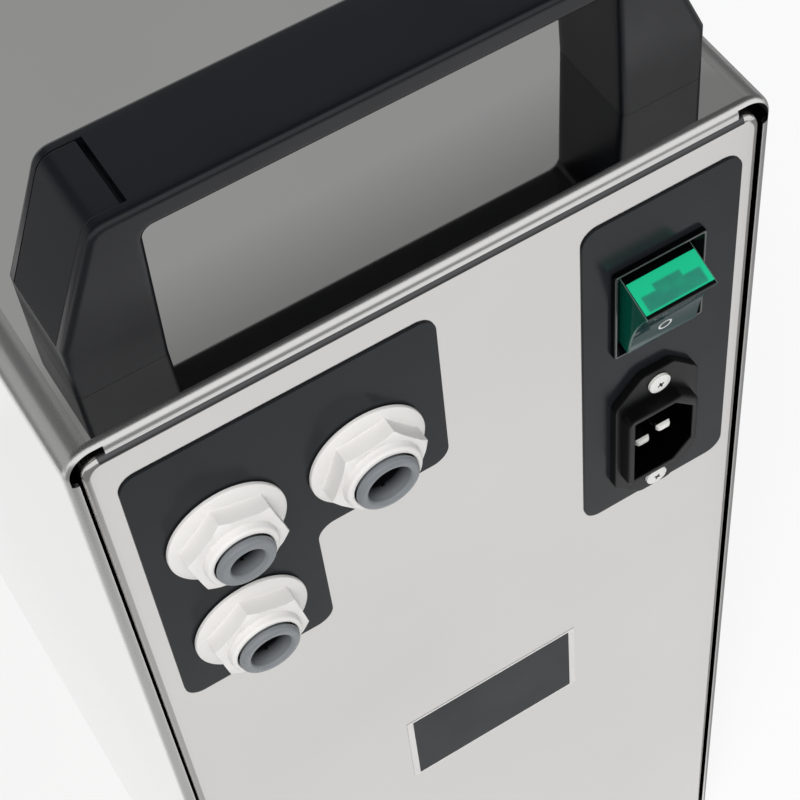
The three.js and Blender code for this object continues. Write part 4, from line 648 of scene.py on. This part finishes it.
handle_parts += [lid(near_rings[0]), lid(far_rings[-1])]
for side in (1, -1):
    walls = channel(path_in, sunk, 0, side)
    handle_parts.append(skin(walls, ring=False))
    handle_parts += [(walls[:, end], np.array([[0, 1, 2, 3]])) for end in (0, -1)]
moulded("handle_plastic", (0.004, 0.0048, 0.007), (0.0032, 0.0038, 0.0056), (0.26, 0.36), 2200, 0.05, 0.42)
handle = solid("handle_moulding", handle_parts, HANDLE_SOFT)
fit(handle, "handle_plastic", node="handle")
for side, word in ((1, "right"), (-1, "left")):
    low_end = path[0] + (path[1] - path[0]) * CAP_GAP / np.linalg.norm(path[1] - path[0])
    high_end = path[-2] + (CAP_GAP, 0)
    cap_line = np.concatenate([[low_end], path[1:-2], [high_end]])
    cap_in = cap_line + inward[:-1] * (CAP_DEPTH - CAP_FLOOR)
    cap_rows = channel(cap_line, cap_in, CAP_GAP, side).swapaxes(0, 1)
    cap_parts = [skin(cap_rows), lid(cap_rows[0]), lid(cap_rows[-1])]
    cap = solid("shoulder_cap_" + word, cap_parts, CAP_SOFT)
    fit(cap, "handle_plastic", node="handle_cap_" + word)

# Push-fit fittings: white moulded bodies with a coned flange, a hexagon whose corners are turned
# down, and a collar. The socket's floor round the collet and its deep chamber are painted with the
# dark rubber finish, as painted shade.
PORT_FACE, COLLAR_HEIGHT, COLLET_FRONT = -0.75, 8.6, -11.2
SIDES = 120
FLANGE, FLANGE_EDGE, FLANGE_HEIGHT, CONE_TOP, CONE_SLOPE = 14.4, 0.9, 1.9, 12.0, 0.417
HEX_CORNER, HEX_HEIGHT, HEX_TURNED, COLLAR_ROUND = 12.4, 6.45, 1.2, 0.9
COLLET_WALL, HEAD_GAP, SLEEVE_GAP = 1.7, 0.12, 0.35
LIP_DEPTH, LIP_LENGTH = 3.4, 3
THREAD, THREAD_END, CHANNEL = 9.2, 27, 3
CHAMBER_END, TUBE_STOP = 8, 12


def spun(rows, at, sides, turn=0):
    """A closed profile turned round an axis: each row is a radius and a depth, which may change
    round the axis."""
    angle = np.radians(turn) + np.linspace(0, 2 * math.pi, sides, endpoint=False)
    made = []
    for radius, y in rows:
        radius, y = np.broadcast_to(radius, sides), np.broadcast_to(y, sides)
        made.append(np.stack([at[0] + radius * np.cos(angle), y, at[1] + radius * np.sin(angle)], 1))
    return skin(made, loop=True)


def quarter(radius, y, size, start, end, steps):
    """Rows along an arc of a given size about a radius and depth, between two angles."""
    angle = np.radians(np.linspace(start, end, steps))
    return [(radius + size * math.cos(a), y + size * math.sin(a)) for a in angle]


def fitting(name, at, bore, collet_radius, collar, tube, hex_turn):
    """Body of a fitting. The hexagon's wall stands at apothem / cos(angle from the flat's middle),
    and a cone turns its corners down towards the collar. The first two and last four rows, the
    socket's floor round the collet and its deep chamber, take the dark rubber finish as painted
    shade."""
    face = PORT_FACE - COLLAR_HEIGHT
    recess, mouth = collet_radius + HEAD_GAP, bore + COLLET_WALL + SLEEVE_GAP
    lip = COLLET_FRONT + LIP_DEPTH
    shoulder = PORT_FACE - FLANGE_HEIGHT
    around = np.linspace(0, 360, SIDES, endpoint=False) % 60 - 30
    wall = HEX_CORNER * math.cos(math.pi / 6) / np.cos(np.radians(around))
    hex_top = PORT_FACE - HEX_HEIGHT
    cone_low = HEX_CORNER - HEX_TURNED
    drop = np.maximum(wall - cone_low, 0) * 0.5
    foot = np.where(wall > CONE_TOP, shoulder + (wall - CONE_TOP) * CONE_SLOPE, shoulder)
    chamber, lip_end, tube_hole = mouth + 0.75, lip + LIP_LENGTH, tube + 0.35
    rows = [(mouth, lip_end), (mouth, lip), (recess, lip), (recess, face + 0.25), (recess + 0.2, face)]
    rows += quarter(collar - COLLAR_ROUND, face + COLLAR_ROUND, COLLAR_ROUND, -90, 0, 7)
    rows += [(collar, hex_top + 0.15), (collar + 0.15, hex_top)]
    rows += [(np.minimum(wall, cone_low), hex_top), (wall, hex_top + drop), (wall, foot)]
    rows += [(np.maximum(wall, CONE_TOP), foot)]
    rows += quarter(FLANGE - 0.35, PORT_FACE - FLANGE_EDGE + 0.1, 0.35, -70, 0, 4)
    rows += [(FLANGE, PORT_FACE - 0.15), (FLANGE - 0.15, PORT_FACE), (THREAD, PORT_FACE)]
    rows += [(THREAD, THREAD_END - 1), (THREAD - 1, THREAD_END)]
    rows += [(tube_hole, THREAD_END), (tube_hole, TUBE_STOP), (CHANNEL, TUBE_STOP)]
    rows += [(CHANNEL, CHAMBER_END), (chamber, CHAMBER_END), (chamber, lip_end)]
    # Painted shade: these rows take the dark rubber finish.
    inner = np.zeros(len(rows), int)
    inner[[0, 1, -4, -3, -2, -1]] = 1
    lined = (*spun(rows, at, SIDES, hex_turn), np.repeat(inner, SIDES))
    return solid(name, [lined], 0.22, 2)


moulded("white_plastic", (0.775, 0.765, 0.752), (0.735, 0.725, 0.712), (0.34, 0.5), 1100, 0.1, 0.4)
moulded("rubber", (0.016, 0.016, 0.017), (0.012, 0.012, 0.013), (0.55, 0.7), 900, 0.3, 0.3)
# Each port's bore, the radii of the collet's head, the collar and the tube, and the hexagon's turn
port_sizes = {
    "soda": (5.3, 7.75, 9.5, 4.75, 8),
    "gas": (4.1, 7.1, 8.8, 4.0, 44),
    "water": (5.15, 7.65, 9.1, 4.75, 40),
}
for port, sizes in port_sizes.items():
    body = fitting(port + "_port", ports[port], *sizes)
    fit(body, "white_plastic", "white_plastic", "rubber", node=port + "_fitting")

# Release collets: acetal sleeves with a rounded head. Four slots at the inner end make fingers,
# whose barbs are caught behind the fitting's lip.
COLLET_SIDES, SLOT_PITCH, INNER_ROWS = 72, 18, 5
HEAD_HEIGHT, BARB_AT, TIP_AT, SLOT_LENGTH = 1.5, 6.65, 10.65, 6.5
HEAD_ROUND, BORE_ROUND = 1.1, 0.9


def collet(name, at, bore, head):
    """A sleeve as a closed profile turned round the axis; in the slots, the profile's inner part
    is left out and the cut is walled."""
    front, sleeve = COLLET_FRONT, bore + COLLET_WALL
    barb, tip = front + BARB_AT, front + TIP_AT
    slot_from, neck = tip - SLOT_LENGTH, front + HEAD_HEIGHT
    rows = [(bore, slot_from), (bore, tip), (sleeve - 0.375, tip), (sleeve + 0.575, barb)]
    rows += [(sleeve, barb), (sleeve, slot_from), (sleeve, neck), (head, neck)]
    rows += quarter(head - HEAD_ROUND, front + HEAD_ROUND, HEAD_ROUND, 0, -90, 8)
    rows += quarter(bore + BORE_ROUND, front + BORE_ROUND, BORE_ROUND, -90, -180, 8)
    points, faces = spun(rows, at, COLLET_SIDES)
    column = np.arange(COLLET_SIDES)
    slotted = np.isin(column % SLOT_PITCH, (0, SLOT_PITCH - 1))
    row_of, column_of = np.divmod(np.arange(len(faces)), COLLET_SIDES)
    kept = faces[~(slotted[column_of] & (row_of < INNER_ROWS))]
    first, second = column[slotted], (column[slotted] + 1) % COLLET_SIDES
    last_row = INNER_ROWS * COLLET_SIDES
    floor = np.stack([first, second, last_row + second, last_row + first], 1)
    edges = column[np.isin(column % SLOT_PITCH, (1, SLOT_PITCH - 1))]
    walls = edges[:, None] + COLLET_SIDES * np.arange(INNER_ROWS + 1)
    return solid(name, [(points, kept), (points, floor), (points, walls)])


def darken(material, start, end):
    """Turns a finish nearly black between two depths in front of the panel's plane, down the bore,
    where little light reaches."""
    tree = material.node_tree
    tone = tree.nodes["Principled BSDF"].inputs["Base Color"]
    y = node(tree, "SeparateXYZ", {0: node(tree, "TexCoord").outputs["Object"]}).outputs[1]
    share = spread(tree, y, 0, 1, (panel_y - start) * MM, (panel_y - end) * MM)
    shaded = blend(tree, share, tone.links[0].from_socket, (0.004, 0.004, 0.005, 1))
    tree.links.new(shaded, tone)


moulded("collet_plastic", (0.2, 0.216, 0.232), (0.175, 0.19, 0.205), (0.26, 0.36), 1800, 0.05, 0.45)
darken(finishes["collet_plastic"], 9.7, 6.4)
for port, (bore, head, *_) in port_sizes.items():
    sleeve = collet(port + "_sleeve", ports[port], bore, head)
    cad_name, moving = port + "_collet", port + "_release"
    fit(sleeve, "grey_plastic", "collet_plastic", body=moving, node=cad_name)

# Sealing rings: a rubber ring deep in each socket, dark behind the collet's fingers.
SEAL_OUT, SEAL_PLACE, SEAL_RADIUS = 1.35, 2.4, 1.45
for port, (bore, *_) in port_sizes.items():
    ring_rows = quarter(bore + SEAL_OUT, SEAL_PLACE, SEAL_RADIUS, 0, 345, 24)
    seal = solid(port + "_seal", [spun(ring_rows, ports[port], 48)], crease=60)
    fit(seal, "rubber")

# Switch housing: a glossy black bezel over the panel, in one piece with the box behind it. The
# well in front gives the rocker's ends room to swing, and the bezel's front edge is painted paler
# and glossier, as a painted highlight.
well = [(20.1, 25.7, 0.3, 21), (20.1, 25.7, 0.3, 0), (20.1, 27.3, 0.3, 0), (20.1, 27.3, 0.3, -0.5)]
edge = [(23.3, 29, 0.5, -2.02), (23.5, 29.2, 0.55, -2.1), (24.2, 29.8, 0.6, -2.1), (24.5, 30, 0.65, -1.95)]
flank = [(24.8, 30.3, 0.7, -1.6), (24.8, 30.3, 0.7, -0.62), (21.6, 27.1, 0.3, -0.62), (21.6, 27.1, 0.3, 24)]
bezel_rows = framed(*switch_at, well + edge + flank)
# Painted highlight: the front edge's rows take a paler, glossier finish.
highlit_edge = np.zeros(len(bezel_rows) - 1, bool)
highlit_edge[len(well) : len(well) + len(edge) - 1] = True
bezel_skin = (*skin(bezel_rows), np.repeat(highlit_edge, len(bezel_rows[0])))
moulded("gloss_black", (0.0012, 0.0014, 0.0018), (0.0009, 0.001, 0.0013), (0.14, 0.22), 1500, 0.03, 0.09)
moulded("bezel_edge_highlight", (0.05, 0.05, 0.052), (0.03, 0.031, 0.032), (0.1, 0.16), 1500, 0.03, 0.7)
housing = solid("switch_bezel", [bezel_skin, lid(bezel_rows[0]), lid(bezel_rows[-1])])
fit(housing, "black_plastic", "gloss_black", "bezel_edge_highlight", node="switch_housing")

# Rocker: a clear green key with a hollow face, its lower end pressed in. Its raised end is painted
# bright green as lit from above, with the lamp's holder dark behind it and painted shade round its
# border; its face is painted grey-blue as a reflection, its side walls dark as shade, and a plain
# white ring marks the off side.
ROCKER_WIDTH, ROCKER_HALF, ROCKER_OUT, ROCKER_SKIRT = 19.4, 10.8, 9.9, 3.2
HOLLOW, PIVOT = 1.3, 2.4
TILT = math.radians(19.5)
RING_UP, RING_IN, RING_OUT = -5.2, 1.35, 1.85


def rocker_rows():
    """Side outline of the key, out = height - hollow (1 - share^2) along its face, carried across
    its width, drawn in a little at both sides, and turned by the tilt about the pivot."""
    share = np.linspace(1, -1, 33)
    face = np.stack([share * (ROCKER_HALF - 0.5), ROCKER_OUT - HOLLOW * (1 - share**2)], 1)
    high = [(ROCKER_HALF, -ROCKER_SKIRT), (ROCKER_HALF, ROCKER_OUT - 0.5)]
    high += [(ROCKER_HALF - 0.15, ROCKER_OUT - 0.15)]
    outline = np.concatenate([high, face, np.array(high[::-1]) * (-1, 1)])
    edges = [(0, 0.45), (0.08, 0.22), (0.22, 0.08), (0.5, 0)]
    places = [(short - ROCKER_WIDTH / 2, inset) for short, inset in edges]
    places += [(ROCKER_WIDTH / 2 - short, inset) for short, inset in edges[::-1]]
    c, s = math.cos(TILT), math.sin(TILT)
    rows = []
    for x, inset in places:
        up_key, out_key = offset(outline, inset).T
        y, z = PIVOT - out_key * c - up_key * s, switch_at[1] + up_key * c - out_key * s
        rows.append(np.stack([np.full(len(y), switch_at[0] + x), y, z], 1))
    return rows


def paint_key_light_and_shade():
    """Clear green plastic, painted by the key's own x, out and up, in millimetres: the raised end
    painted bright as lit, with painted shade round its border, a painted highlight along its sides
    and the lamp holder dark behind it; the face painted grey-blue as a painted reflection, the side
    walls painted dark as shade, and the white ring on it."""
    tree, shader, place = bare_finish("lit_green", "Roughness", 0.1)
    turned = {"Location": (switch_at[0] * MM, (PIVOT + panel_y) * MM, switch_at[1] * MM)}
    turned |= {"Vector": place, "Rotation": (TILT, 0, 0), "Scale": (MM, -MM, MM)}
    own = node(tree, "Mapping", turned, vector_type="TEXTURE").outputs[0]
    x, out, up_key = node(tree, "SeparateXYZ", {0: own}).outputs

    def join(one, two, operation="MULTIPLY"):
        """Two values made one, mostly their product."""
        return node(tree, "Math", {0: one, 1: two}, operation=operation).outputs[0]

    def between(value, low, high, soft=0.06):
        """1 from low to high, falling to 0 over a soft edge at each."""
        rise = spread(tree, value, 0, 1, low - soft, low + soft)
        return join(rise, spread(tree, value, 1, 0, high - soft, high + soft))

    wide = join(between(x, -7.8, 8.0, 0.3), between(out, 4.45, 8.35, 0.3))
    tall = join(between(x, -3.9, 3.5, 0.3), between(out, 2.8, 8.35, 0.3))
    holder = join(join(wide, tall, "MAXIMUM"), spread(tree, noise(tree, place, 300), 0.75, 1.0))
    # Painted shade: near-black round the end face's border.
    clear_of_border_shade = join(between(x, -9.1, 9.6), between(out, 0.3, 8.7))
    # Painted light: the raised end is bright green, as lit from above.
    end = blend(tree, holder, (0.011, 0.52, 0.26, 1), (0.024, 0.20, 0.145, 1))
    end = blend(tree, clear_of_border_shade, (0.0008, 0.001, 0.001, 1), end)
    # Painted highlight: a pale line along the end face's two side edges.
    sides = between(join(x, 0.0, "ABSOLUTE"), 9.3, 9.55)
    end = blend(tree, sides, end, (0.07, 0.13, 0.115, 1))
    across = node(tree, "CombineXYZ", {0: x, 1: join(up_key, RING_UP, "SUBTRACT")}).outputs[0]
    radius = node(tree, "VectorMath", {0: across}, operation="LENGTH").outputs["Value"]
    ring = join(between(radius, RING_IN, RING_OUT), between(out, 8.0, 20.0))
    # Painted reflection: the face is grey-blue. Painted shade: the side walls are dark green.
    face_reflection = between(x, -9.4, 9.4)
    colour = blend(tree, face_reflection, (0.002, 0.075, 0.05, 1), (0.012, 0.045, 0.047, 1))
    colour = blend(tree, between(up_key, ROCKER_HALF - 0.35, 20.0), colour, end)
    colour = blend(tree, ring, colour, (0.8, 0.8, 0.8, 1))
    tree.links.new(colour, shader.inputs["Base Color"])


key_rows = rocker_rows()
key = solid("rocker_key", [skin(key_rows), lid(key_rows[0]), lid(key_rows[-1])], crease=40)
paint_key_light_and_shade()
fit(key, "lit_green", body="rocker", node="switch_rocker")

# Mains inlet: a semi-matt black moulding. Its flange is drawn to a point above and below, where
# the screws go, and a raised rim stands round a deep mouth whose two right corners are cut off.
# The mouth's deep walls and floor are painted blacker and duller, as painted shade.
MOUTH_W, MOUTH_H, MOUTH_CUT, INLET_WALL = 16.8, 24.0, 5.2, 1.9
FLANGE_HALF, FLANGE_TIP, TAPER_FROM, TIP_HALF, TIP_ROUND = 12, 25, 17, 4.5, 3.5
INLET_BACK, INLET_FACE, RIM_ROUND, MOUTH_FLOOR, BOX_END = -0.62, -2.8, 0.4, 11.1, 14.1


def mouth(grow, radius):
    """The mouth's outline, grown by a wall."""
    left, right_x = inlet_at[0] - MOUTH_W / 2 - grow, inlet_at[0] + MOUTH_W / 2 + grow
    low, high = inlet_at[1] - MOUTH_H / 2 - grow, inlet_at[1] + MOUTH_H / 2 + grow
    cut_x, cut_low, cut_high = right_x - MOUTH_CUT, low + MOUTH_CUT, high - MOUTH_CUT
    corners = [(left, low), (cut_x, low), (right_x, cut_low)]
    corners += [(right_x, cut_high), (cut_x, high), (left, high)]
    return rounded([(x, z, radius) for x, z in corners], 4)


def inlet_flange(shrink):
    """The flange's outline: straight sides, and a narrow tip above and below."""
    x, z = inlet_at
    wide, tall = FLANGE_HALF - shrink, FLANGE_TIP - shrink
    corners = [(-wide, -TAPER_FROM), (-TIP_HALF, -tall), (TIP_HALF, -tall), (wide, -TAPER_FROM)]
    corners += [(wide, TAPER_FROM), (TIP_HALF, tall), (-TIP_HALF, tall), (-wide, TAPER_FROM)]
    return rounded([(x + a, z + b, TIP_ROUND) for a, b in corners], 6)


flange_steps = ((0, INLET_BACK), (0, -2.35), (0.12, -2.65), (0.42, INLET_FACE))
flange_rows = [raised(inlet_flange(shrink), y) for shrink, y in flange_steps]
outer_rim = ((INLET_WALL, INLET_FACE), (1.82, -5.3), (1.7, -5.68), (1.4, -5.9))
rim_rows = [raised(mouth(grow, max(grow, RIM_ROUND)), y) for grow, y in outer_rim]
inner_rim = ((0.35, -5.9), (0.1, -5.8), (0, -5.5), (-0.15, MOUTH_FLOOR))
rim_rows += [raised(mouth(grow, RIM_ROUND), y) for grow, y in inner_rim]
box_rows = [raised(mouth(INLET_WALL, INLET_WALL), y) for y in (INLET_BACK, BOX_END)]
inlet_parts = [skin(flange_rows), lid(flange_rows[-1], rim_rows[0]), skin(rim_rows[:-1])]
# Painted shade: the mouth's deep walls and floor take the second, blacker finish.
inlet_parts += [(*skin(rim_rows[-2:]), 1), (*lid(rim_rows[-1]), 1)]
inlet_parts += [lid(flange_rows[0], box_rows[0]), skin(box_rows), lid(box_rows[-1])]
moulded("socket_black", (0.003, 0.0031, 0.0034), (0.0024, 0.0025, 0.0028), (0.28, 0.4), 2200, 0.06, 0.2)
moulded("mouth_painted_shade", (0.0006, 0.0006, 0.0007), (0.0004, 0.0004, 0.0005), (0.5, 0.6), 2200, 0.03, 0.03)
socket = solid("mains_socket", inlet_parts, crease=35)
fit(socket, "black_plastic", "socket_black", "mouth_painted_shade", node="inlet_socket")

# Inlet pins: nickel-plated blades with a tapered tip, brushed pale, set in the mouth's floor.
sheet_steel("nickel", (0.86, 0.85, 0.83), (0.8, 0.79, 0.78), (0.14, 0.24), 900, 0.2, (1, 0.05, 1))
moulded("brushed_tip", (0.78, 0.78, 0.76), (0.7, 0.7, 0.68), (0.35, 0.5), 1500, 0.1, 0.8)
for word in ("line", "neutral", "earth"):
    cad_name = "inlet_pin_" + word
    *blade_at, width, height = front(cad_name)
    tip_y, end_y = (corner.y - panel_y for corner in extent(cad_name))
    blade = [(width - 1.5, height - 1.1, 0.2, tip_y), (width - 0.7, height - 0.5, 0.25, tip_y + 0.3)]
    blade += [(width, height, 0.3, tip_y + 1.1), (width, height, 0.3, end_y)]
    blade = framed(*blade_at, blade)
    blade_parts = [(*skin(blade[:3]), 1), skin(blade[2:]), (*lid(blade[0]), 1), lid(blade[-1])]
    pin = solid("blade_" + word, blade_parts, crease=50)
    fit(pin, "nickel", "nickel", "brushed_tip", node=cad_name)

# Inlet screws: brushed pale heads, slightly domed, with a cross recess painted dark and dull, as
# painted shade. Its sizes and the dome are shares of the head's radius and height.
RECESS_ARM, RECESS_HALF, RECESS_DEPTH, RECESS_WALL, DOME = 0.32, 0.08, 0.55, 0.03, 0.3
HEAD_SPREAD, SCREW_SEAT, SCREW_HEAD, SCREW_SHANK, SCREW_LENGTH = 0.2, -2.92, 1.1, 1.5, 8.0
SCREW_SIDES = 112


def cross_recess(radius, angle):
    """Share of the recess's depth at each polar place, in head radii: 1 within half a width of an
    arm's line and short of its end, falling to 0 over a thin wall."""
    x, z = np.abs(radius * np.cos(angle)), np.abs(radius * np.sin(angle))
    cut = []
    for across, along in ((x, z), (z, x)):
        in_width = (RECESS_HALF - across) / RECESS_WALL + 0.5
        inside = np.minimum(in_width, (RECESS_ARM - along) / RECESS_HALF)
        cut.append(np.clip(inside, 0, 1))
    return np.maximum(*cut)


def screw(name, at, seat, head, height, shank, length, turn, up_axis=False):
    """A pan-head screw: a domed polar grid with a cross sunk in it, then the head's side and the
    shank. up_axis stands it on Z, head down, in place of Y."""
    angle = np.linspace(0, 2 * math.pi, SCREW_SIDES, endpoint=False)[None]
    share = np.concatenate([np.linspace(0, 0.4, 22), np.linspace(0.4, 1, 10)[1:]])[:, None]
    sunk = cross_recess(share, angle - turn)
    top = seat - height + DOME * height * share**4 + RECESS_DEPTH * height * sunk
    ones = np.ones((1, SCREW_SIDES))
    radii = np.concatenate([head * share * ones, head * ones, shank * ones, shank * ones, 0 * ones])
    end = seat + length
    y = np.concatenate([top] + [depth * ones for depth in (seat, seat, end, end)])
    across, upward = at[0] + radii * np.cos(angle), at[1] + radii * np.sin(angle)
    order = (across, upward, y) if up_axis else (across, y, upward)
    beside = np.roll(sunk, -1, 1)
    # Painted shade: the recess's faces take the second finish.
    deep = np.zeros((len(radii) - 1, SCREW_SIDES), int)
    deep[: len(share) - 1] = (sunk[1:] + sunk[:-1] + beside[1:] + beside[:-1]) > 0.4
    return solid(name, [(*skin(np.stack(order, -1)), deep.ravel())], crease=38)


moulded("recess_painted_shade", (0.02, 0.02, 0.02), (0.014, 0.014, 0.014), (0.5, 0.65), 900, 0.2, 0.2)
for word, turn in (("upper", 0.35), ("lower", 1.1)):
    cad_name = "inlet_screw_" + word
    *screw_at, width, _ = front(cad_name)
    sizes = (SCREW_SEAT, width / 2 + HEAD_SPREAD, SCREW_HEAD, SCREW_SHANK, SCREW_LENGTH)
    made = screw("panel_screw_" + word, screw_at, *sizes, turn)
    fit(made, "nickel", "brushed_tip", "recess_painted_shade", node=cad_name)

# Feet: turned rubber buffers with a slight flare, each held by a screw whose head sits in its
# recess, clear of the floor. BOLT_SIZES are its seat, head radius and height, shank and length.
BOLT_SIZES = (5.75, 4.4, 3.2, 2.4, 12.0)
sheet_steel("zinc_steel", (0.62, 0.63, 0.64), (0.56, 0.57, 0.585), (0.28, 0.42), 600, 0.3, (1, 1, 1))
for word in ("rear_left", "rear_right", "front_left", "front_right"):
    foot_low, foot_high = extent("foot_" + word)
    foot_at = ((foot_low.x + foot_high.x) / 2, (foot_low.y + foot_high.y) / 2 - panel_y)
    top_z = foot_high.z
    profile = [(2.75, top_z), (2.75, 6), (5.6, 6), (5.6, 0.4), (6.0, 0), (9.7, 0)]
    profile += [(10.3, 0.25), (10.75, 0.7), (11, 1.4), (11.9, 6)]
    profile += [(12.8, top_z - 0.7), (12.9, top_z - 0.2), (12.5, top_z)]
    points, faces = spun(profile, foot_at, 64)
    foot = solid("buffer_" + word, [(points[:, [0, 2, 1]], faces)], crease=40)
    fit(foot, "rubber", node="foot_" + word)
    # Its cross recess is painted dark, as painted shade.
    made = screw("foot_bolt_" + word, foot_at, *BOLT_SIZES, 0.4, up_axis=True)
    fit(made, "zinc_steel", "zinc_steel", "recess_painted_shade", node="foot_screw_" + word)

# Works inside the case, which show only through the vents and from below: the base pan, the
# handle's screws and backing bar, nuts, tabs, tank, pump, motor, valves, pipes and the board. They
# keep their CAD shapes. A slot's finish mostly has the slot's name.
sheet_steel("brass", (0.7, 0.52, 0.23), (0.64, 0.46, 0.2), (0.24, 0.36), 700, 0.3, (1, 1, 1))
sheet_steel("tank_steel", (0.66, 0.66, 0.66), (0.6, 0.6, 0.605), (0.18, 0.3), 500, 0.2, (1, 1, 0.05))
moulded("motor_paint", (0.045, 0.052, 0.06), (0.036, 0.042, 0.05), (0.35, 0.5), 500, 0.35, 0.5)
moulded("pipe_plastic", (0.1, 0.19, 0.32), (0.085, 0.165, 0.29), (0.3, 0.42), 900, 0.1, 0.5)
moulded("board_green", (0.012, 0.075, 0.026), (0.009, 0.06, 0.02), (0.35, 0.5), 260, 0.2, 0.5)
other_names = {"polished_steel": "tank_steel", "black_plastic": "socket_black"}
other_names["grey_plastic"] = "collet_plastic"
for row in frame["record"]["subparts"]:
    slot_name = row["material_slot"]
    cad_node = frame["nodes"][row["node"]]
    cad_node.data.materials.clear()
    cad_node.data.materials.append(finishes[other_names.get(slot_name, slot_name)])

visual_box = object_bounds()
sizes = {"cad": [list(v) for v in cad_box], "visual": [list(v) for v in visual_box]}
